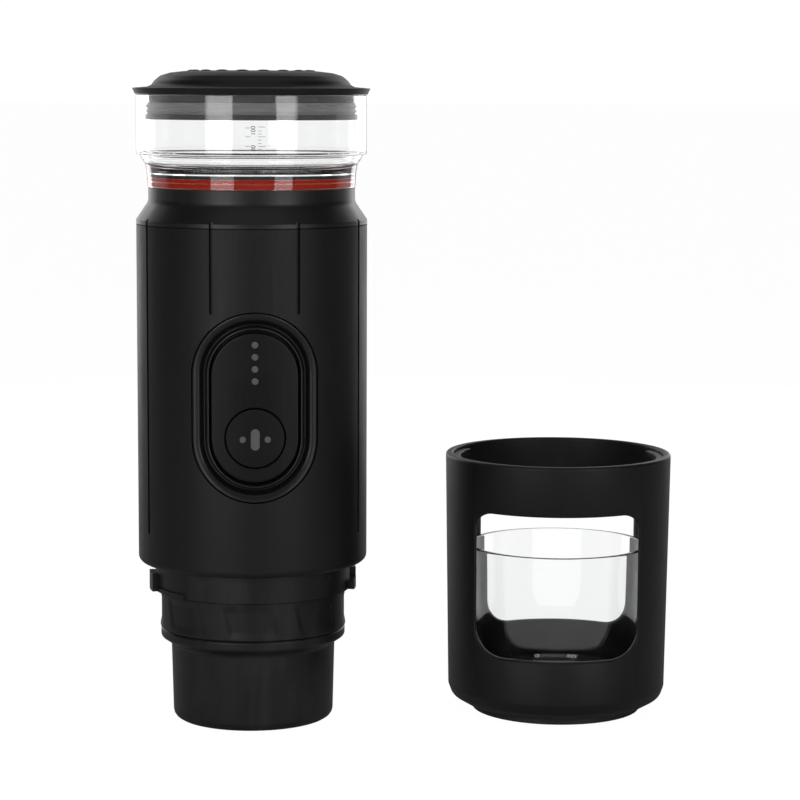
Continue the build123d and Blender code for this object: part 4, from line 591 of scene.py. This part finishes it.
def make_scale():
    """Volume scale on the tank's front: columns of short lines, and plain numbers on end."""
    line_depth, line_height = 0.02, 0.11
    number_size, number_across, number_depth = 1.9, -0.3, 0.01
    marks = bmesh.new()
    # where across, how long, how high
    rows = [(-2.0, 1.5, height) for height in (186.6, 184.0, 181.1)]
    rows += [(2.2, 2.2, height) for height in (186.9, 184.0, 181.1)]
    rows += [(1.6, 1.1, height) for height in (185.7, 184.8, 183.0, 182.0, 180.3)]
    for across, length, height in rows:
        bar = bmesh.ops.create_cube(marks, size=1.0)["verts"]
        bmesh.ops.scale(marks, vec=(length * MM, line_depth * MM, line_height * MM), verts=bar)
        bmesh.ops.translate(marks, vec=(across * MM, 0, height * MM), verts=bar)
    on_end = Matrix.Rotation(math.pi / 2, 4, "X") @ Matrix.Rotation(math.pi / 2, 4, "Z")
    for text, height in (("100", 185.8), ("80", 180.6)):
        curve = bpy.data.curves.new("number", "FONT")
        curve.body = text
        curve.size = number_size * MM
        curve.align_x = "CENTER"
        curve.align_y = "CENTER"
        curve.extrude = number_depth * MM
        number = bpy.data.objects.new("number", curve)
        scene.collection.objects.link(number)
        depsgraph = bpy.context.evaluated_depsgraph_get()
        mesh = bpy.data.meshes.new_from_object(number.evaluated_get(depsgraph))
        mesh.transform(Matrix.Translation((number_across * MM, 0, height * MM)) @ on_end)
        marks.from_mesh(mesh)
        bpy.data.objects.remove(number)
        bpy.data.meshes.remove(mesh)
    for vert in marks.verts:
        vert.co.y -= math.sqrt(((tank_radius + print_proud) * MM) ** 2 - vert.co.x ** 2)
    fit(piece_from(marks, "tank_scale"), "tank", "scale_print", "panel_black")


# ---------------------------------------------------------------- machine's body
def make_body():
    """Shell, collar, brew head and the charge port's cover, with their mould edges."""
    fit(eased_copy("body_shell", "shell_skin", 0.22), "machine", "shell_black", "shell_black",
        "body_shell")
    fit(eased_copy("top_collar", "collar_skin", 0.35, above=25), "machine", "collar_black",
        "shell_black", "top_collar")
    fit(eased_copy("brew_head", "brew_head_skin", 0.30), "machine", "tier_black", "tier_black",
        "brew_head")
    fit(eased_copy("port_cover", "port_cover_skin", 0.25), "port_flap", "black_silicone",
        "black_silicone", "port_cover")


# ---------------------------------------------------------------- control panel
def on_panel(profile, half_width, half_length, front):
    """A bmesh whose profile of (inset, depth) corners runs round a shape with round ends.

    The inset is from the shape's edge. The depth is behind front, a distance from the axis."""
    bm = turned([(half_width - inset, -depth, 0) for inset, depth in profile], steps=panel_steps)
    half_a_step = Matrix.Rotation(math.pi / panel_steps, 3, "Z")
    bmesh.ops.rotate(bm, cent=(0, 0, 0), matrix=half_a_step, verts=bm.verts)
    straight = (half_length - half_width) * MM
    for vert in bm.verts:
        across, up, depth = vert.co.x, vert.co.y, -vert.co.z
        if abs(up) > 1e-7:
            up += math.copysign(straight, up)
        vert.co = (across, depth - front(across / MM) * MM, panel_centre * MM + up)
    bmesh.ops.recalc_face_normals(bm, faces=bm.faces)
    return bm


def make_bezel():
    """Bezel: rounded rim, a valley that follows the body, and a raised ridge round the plate."""
    bm = on_panel((
        (0.0, 6.0), (0.0, 0.60), (0.06, 0.30), (0.20, 0.10), (0.42, 0.0), (0.70, 0.02),
        (0.95, 0.12), (1.3, 0.26), (1.7, 0.45), (2.1, 0.76), (2.45, 1.20), (2.75, 1.75),
        (3.05, 2.3), (3.4, 2.8), (3.7, 3.05), (3.9, 3.0), (4.03, 2.6), (4.12, 1.9), (4.22, 1.25),
        (4.36, 0.84), (4.54, 0.62), (4.76, 0.54), (4.96, 0.60), (5.10, 0.78), (5.20, 1.1),
        (5.28, 1.8), (5.4, 3.2), (5.6, 5.0), (7.2, 5.2), (7.2, 6.0)),
        panel_half_width, panel_half_length,
        lambda across: math.sqrt(body_radius ** 2 - across ** 2))
    fit(piece_from(bm, "panel_bezel", 60), "machine", "bezel_black", "panel_black",
        "control_bezel")


def make_panel_plate():
    """Flat crowned plate, and the round button that stands a little clear of it."""
    thick = plate_front - plate_back
    bm = on_panel((
        (plate_half_width, thick), (0.0, thick), (0.0, 0.20), (0.05, 0.06), (0.20, 0.0),
        (0.6, 0.0), (1.6, 0.0), (3.2, 0.0), (5.0, 0.0), (7.0, 0.0), (9.0, 0.0), (11.0, 0.0),
        (12.5, 0.0), (plate_half_width, 0.0)),
        plate_half_width, plate_half_length,
        lambda across: plate_front + math.sqrt(crown_radius ** 2 - across ** 2) - crown_radius)
    plate = piece_from(bm, "panel_plate", 40)
    # a small shift and an odd number of segments keep the drills' edges off the plate's own
    shift_across, shift_up = 0.013, 0.011
    bores = [(button_bore, button_centre, 97)]
    bores += [(light_radius, height, 33) for height in light_heights]
    drills = []
    for radius, height, segments in bores:
        place = Matrix.Translation((shift_across * MM, -plate_front * MM,
                                    (height + shift_up) * MM))
        drills.append(drill(radius, 20, segments, place @ Matrix.Rotation(math.pi / 2, 4, "X")))
    fit(ease_edges(cut(plate, drills), 0.06, above=60, segments=2), "machine", "panel_black",
        "panel_black", "control_plate")
    button = eased_copy("brew_button", "button_cap", 0.14)
    draw_in(button, 0.972, button_centre)
    fit(button, "button", "panel_black", "panel_black", "brew_button")


# ---------------------------------------------------------------- lower tiers
def make_outlet_cup():
    """Outlet cup: a slightly tapered tube, a flange, a rounded foot and its floor's holes."""
    cup = piece_from(turned((
        (0, outlet_floor, 0), (22.0, outlet_floor, 1.5), (24.0, 26.6, 0.2), (24.0, 29.3, 0.3),
        (29.1, 29.3, 0.8), (29.1, 26.4, 0.9), (25.85, 24.2, 1.5), (25.25, 0, 2.4), (0, 0, 0))),
        "outlet_tube", 40)
    off_the_edges = 1.1  # degrees that keep the drills clear of the floor's own edges
    out = Matrix.Translation((outlet_hole_circle * MM, 0, 0))
    drills = []
    for i in range(outlet_hole_count):
        angle = 360 / outlet_hole_count * i + off_the_edges
        around = Matrix.Rotation(math.radians(angle), 4, "Z")
        drills.append(drill(outlet_hole_radius, 12, 24, around @ out))
    fit(cut(cup, drills), "holder", "tier_black", "tier_black", "outlet_cup")


def make_lock_ring():
    """Lock ring with a ledge, soft leaning grip hollows around it and three lugs inside it."""
    low, high, outer, bore = 29.4, 41.3, 29.3, 27.9
    ledge_bore, ledge_top = 24.2, low + 2.9
    edge, rows = 0.5, 22
    side = [(outer, low + edge + (high - low - 2 * edge) * row / rows, 0)
            for row in range(rows + 1)]
    bm = turned([(ledge_bore, low, 0.3), (outer, low, 0.45)] + side
                + [(outer, high, 0.45), (bore, high, 0.2), (bore, ledge_top, 0.2),
                   (ledge_bore, ledge_top, 0.3)], steps=288)
    hollow_depth = 0.40
    spacing, half_width, side_slope = 45, 15.5, 2.6  # degrees
    start, lean = 3.0, 5.5  # degrees
    half_height, end_slope = 0.46, 0.22  # parts of the ring's height
    for vert in bm.verts:
        radius = math.hypot(vert.co.x, vert.co.y)
        if radius < (outer - 0.05) * MM:
            continue
        rise = (vert.co.z / MM - low) / (high - low)
        turn = math.degrees(math.atan2(vert.co.x, -vert.co.y)) + start + lean * (rise - 0.5)
        across = abs((turn + spacing / 2) % spacing - spacing / 2)
        hollow = soft_step((half_width - across) / side_slope)
        hollow *= soft_step((half_height - abs(rise - 0.5)) / end_slope)
        vert.co.xy *= 1 - hollow_depth * MM * hollow / radius
    fit(piece_from(bm, "lock_ring_skin"), "ring", "tier_black", "tier_black", "lock_ring")
    lugs = arcs(((26.0, 38.6), (28.3, 38.6), (28.3, 40.6), (26.0, 40.6)), (0, 120, 240),
                half_angle=23, steps=28)
    fit(ease_edges(piece_from(lugs, "lock_ring_lugs"), 0.2), "ring", "tier_black", "tier_black")


# ---------------------------------------------------------------- sleeve and cup
def sleeve_radius(height):
    """Outer radius in metres of the drafted sleeve at a height in metres."""
    low, high = sleeve_side_low * MM, sleeve_top * MM
    return (sleeve_low_radius + sleeve_draft * (height - low) / (high - low)) * MM


def window_loop(bm, outset, depth, flat_at=None):
    """The window's outline on the sleeve's front, set out by a distance and sunk into the wall.

    With flat_at it lies in an upright plane at that distance in front of the sleeve's middle."""
    half, low, high = window_half_width + outset, window_low - outset, window_high + outset
    corners = [bm.verts.new((x * MM, 0, z * MM))
               for x, z in ((-half, low), (half, low), (half, high), (-half, high))]
    bm.faces.new(corners)
    for corner, rounding in zip(corners, window_corners):
        bmesh.ops.bevel(bm, geom=[corner], offset=(rounding + outset) * MM, offset_type="OFFSET",
                        affect="VERTICES", segments=12, profile=0.5, material=-1)
    bm.verts.ensure_lookup_table()
    loop = [vert for vert in bm.verts if vert.co.y == 0]
    edges = list({edge for vert in loop for edge in vert.link_edges})
    faces = list({face for vert in loop for face in vert.link_faces})
    long_edges = [edge for edge in edges if edge.calc_length() > 10 * MM]
    bmesh.ops.delete(bm, geom=faces, context="FACES_ONLY")
    bmesh.ops.subdivide_edges(bm, edges=long_edges, cuts=23)
    loop = [vert for vert in bm.verts if vert.co.y == 0]
    for vert in loop:
        radius = sleeve_radius(vert.co.z) - depth * MM
        vert.co.y = -flat_at * MM if flat_at else -math.sqrt(radius ** 2 - vert.co.x ** 2)
    return list({edge for vert in loop for edge in vert.link_edges})


def window_knife(turn):
    """A plug shaped like one window, flared at both faces of the wall to leave rounded edges."""
    knife_front, knife_back = 50, 12
    flare = []
    for angle in (22, 35, 50, 65, 80, 90):
        slope = math.radians(angle)
        flare.append((window_rounding * (1 - math.sin(slope)),
                      window_rounding * (1 - math.cos(slope))))
    outer = [(1.6 * window_rounding, -0.34 * window_rounding)] + flare
    inner = [(outset, sleeve_wall - depth) for outset, depth in reversed(outer)]
    widest = outer[0][0]
    bm = bmesh.new()
    first = last = window_loop(bm, widest, 0, knife_front)
    for row in outer + inner + [(widest, 0, knife_back)]:
        ahead = window_loop(bm, *row)
        bmesh.ops.bridge_loops(bm, edges=last + ahead)
        last = ahead
    for end in (first, last):
        bmesh.ops.edgeloop_fill(bm, edges=end)
    bmesh.ops.remove_doubles(bm, verts=bm.verts, dist=1e-8)
    bmesh.ops.recalc_face_normals(bm, faces=bm.faces)
    bmesh.ops.rotate(bm, cent=(0, 0, 0), matrix=Matrix.Rotation(turn, 3, "Z"), verts=bm.verts)
    return piece_from(moved_to_sleeve(bm), "window_knife")


def make_sleeve():
    """Cup sleeve: a drafted tube with a rounded rim, a floor, two windows and two inner rails."""
    sleeve = piece_from(moved_to_sleeve(turned((
        (0, 2.2, 0), (29.5, 2.2, 0.8), (33.7, 4.675, 2.5),
        (sleeve_low_radius, sleeve_side_low, 2.0),
        (sleeve_low_radius + sleeve_draft, sleeve_top, 0.9), (33.6, sleeve_top, 0.7),
        (32.4, 9.2, 2.5), (29.5, 5.2, 1.0), (0, 5.2, 0)), steps=240)), "sleeve_tube")
    cut(sleeve, [window_knife(0), window_knife(math.pi)])
    fit(sleeve, "sleeve", "shell_black", "shell_black", "cup_holder")
    rails = arcs(((31.3, 79.8), (33.75, 79.8), (33.75, 81.8), (31.3, 81.8)), (0, 180),
                 half_angle=25, steps=30)
    rail_piece = ease_edges(piece_from(moved_to_sleeve(rails), "sleeve_rails"), 0.35)
    fit(rail_piece, "sleeve", "shell_black", "shell_black")


def make_cup():
    """Clear cup with a fire-polished rim and a thick base."""
    bm = turned((
        (0, 5.5, 0), (26.7, 5.5, 4.5), (29.2, 53.3, 0.35), (27.5, 53.3, 0.35), (25.2, 8.6, 3.0),
        (0, 8.6, 0)), steps=200)
    fit(piece_from(moved_to_sleeve(bm), "clear_espresso_cup", 40), "espresso_cup", "clear_cup",
        "clear_plastic", "cup")


make_lid()
make_lid_seal()
make_tank()
make_tank_seal()
make_scale()
make_body()
make_bezel()
make_panel_plate()
make_outlet_cup()
make_lock_ring()
make_sleeve()
make_cup()


# ---------------------------------------------------------------- studio
def seen_white(tree, coordinates, start, rise):
    """How white the studio is: 1 to the camera and through clear plastic, else 0.

    In reflections it grows to 0.7 towards the back, from a start along Y and at a rise."""
    place = tree.nodes.new("ShaderNodeTexCoord")
    split = tree.nodes.new("ShaderNodeSeparateXYZ")
    tree.links.new(place.outputs[coordinates], split.inputs["Vector"])
    back = maths(tree, "MULTIPLY", maths(tree, "SUBTRACT", split.outputs["Y"], start), rise)
    path = tree.nodes.new("ShaderNodeLightPath")
    mirrored = maths(tree, "MULTIPLY", path.outputs["Is Glossy Ray"], held_to(tree, back, 0.70))
    direct = maths(tree, "MAXIMUM", path.outputs["Is Camera Ray"],
                   path.outputs["Is Transmission Ray"])
    return maths(tree, "MAXIMUM", direct, mirrored)


def show_mixed(tree, amount, first, second, output):
    """Lead a mix of two shaders, from the first to the second, to a tree's output."""
    mix = tree.nodes.new("ShaderNodeMixShader")
    tree.links.new(amount, mix.inputs["Fac"])
    tree.links.new(first, mix.inputs[1])
    tree.links.new(second, mix.inputs[2])
    tree.links.new(mix.outputs["Shader"], tree.nodes[output].inputs["Surface"])


def make_floor():
    """A wide pale floor that shows white and takes only a faint shadow."""
    bm = bmesh.new()
    bmesh.ops.create_grid(bm, x_segments=2, y_segments=2, size=30.0)
    floor = piece_from(bm, "studio_floor")
    tree, shader = start_finish("studio_white")
    shader.inputs["Roughness"].default_value = 1.0
    shader.inputs["Specular IOR Level"].default_value = 0.0
    paper = speckle(tree, scale=3.0, detail=2.0)
    shown = blend_colour(tree, paper, (0.80, 0.80, 0.80), (0.82, 0.82, 0.82))
    tree.links.new(shown, shader.inputs["Base Color"])
    glow = tree.nodes.new("ShaderNodeEmission")
    glow.inputs["Strength"].default_value = 1.09
    white = seen_white(tree, "Object", start=0.35, rise=2.5)
    show_mixed(tree, maths(tree, "MULTIPLY", white, 0.9), shader.outputs["BSDF"],
               glow.outputs["Emission"], "Material Output")
    floor.data.materials.append(finishes["studio_white"])


def make_backdrop():
    """White to the camera, through clear plastic and in reflections of the back; else dim."""
    world = bpy.data.worlds.new("studio_air")
    world.use_nodes = True
    tree = world.node_tree
    white = tree.nodes["Background"]
    white.inputs["Color"].default_value = (1, 1, 1, 1)
    white.inputs["Strength"].default_value = 1.02
    dim = tree.nodes.new("ShaderNodeBackground")
    dim.inputs["Color"].default_value = (1, 1, 1, 1)
    dim.inputs["Strength"].default_value = 0.05
    show_mixed(tree, seen_white(tree, "Generated", start=0.60, rise=4.0),
               dim.outputs["Background"], white.outputs["Background"], "World Output")
    scene.world = world


def softbox(name, azimuth, distance, height, width, length, power):
    """A soft light that faces the machine, sized in metres; azimuth 0 is on the panel's side."""
    lit_across, lit_height = 0.03, 0.11
    lamp = bpy.data.lights.new(name, "AREA")
    lamp.shape = "RECTANGLE"
    lamp.size = width
    lamp.size_y = length
    lamp.energy = power
    box = bpy.data.objects.new(name, lamp)
    scene.collection.objects.link(box)
    angle = math.radians(azimuth)
    box.location = (distance * math.sin(angle) + lit_across, -distance * math.cos(angle), height)
    aim = Vector((lit_across, 0, lit_height)) - box.location
    box.rotation_euler = aim.to_track_quat("-Z", "Y").to_euler()
    box.visible_camera = False
    return box


def make_lights():
    """Two tall boxes in front, two strips behind that light the sides, and a box above."""
    softbox("left_softbox", azimuth=-35, distance=0.95, height=0.26, width=0.45, length=0.75,
            power=3.7)
    softbox("right_softbox", azimuth=32, distance=0.95, height=0.26, width=0.36, length=0.75,
            power=3.0)
    softbox("back_left_strip", azimuth=-152, distance=0.9, height=0.25, width=0.30, length=0.9,
            power=1.9)
    softbox("back_right_strip", azimuth=150, distance=0.9, height=0.25, width=0.30, length=0.9,
            power=1.7)
    top = softbox("top_softbox", azimuth=0, distance=0.05, height=1.1, width=0.9, length=0.9,
                  power=1.5)
    top.rotation_euler = (0, 0, 0)


def make_camera():
    """The view from the front, a little above, with a long lens."""
    place = (-18.838, -814.068, 199.059)
    turn, dip, roll = -4.5968, 6.8789, 0.2127  # degrees
    lens = bpy.data.cameras.new("front_camera")
    lens.lens = 117.0
    lens.sensor_width = 36.0
    lens.clip_start = 0.05
    camera = bpy.data.objects.new("front_camera", lens)
    scene.collection.objects.link(camera)
    aim = (Matrix.Rotation(math.radians(turn), 4, "Z")
           @ Matrix.Rotation(math.radians(90 - dip), 4, "X"))
    camera.matrix_world = (Matrix.Translation([value * MM for value in place]) @ aim
                           @ Matrix.Rotation(math.radians(roll), 4, "Z"))
    scene.camera = camera


make_floor()
make_backdrop()
make_lights()
make_camera()
scene.view_settings.view_transform = "Standard"
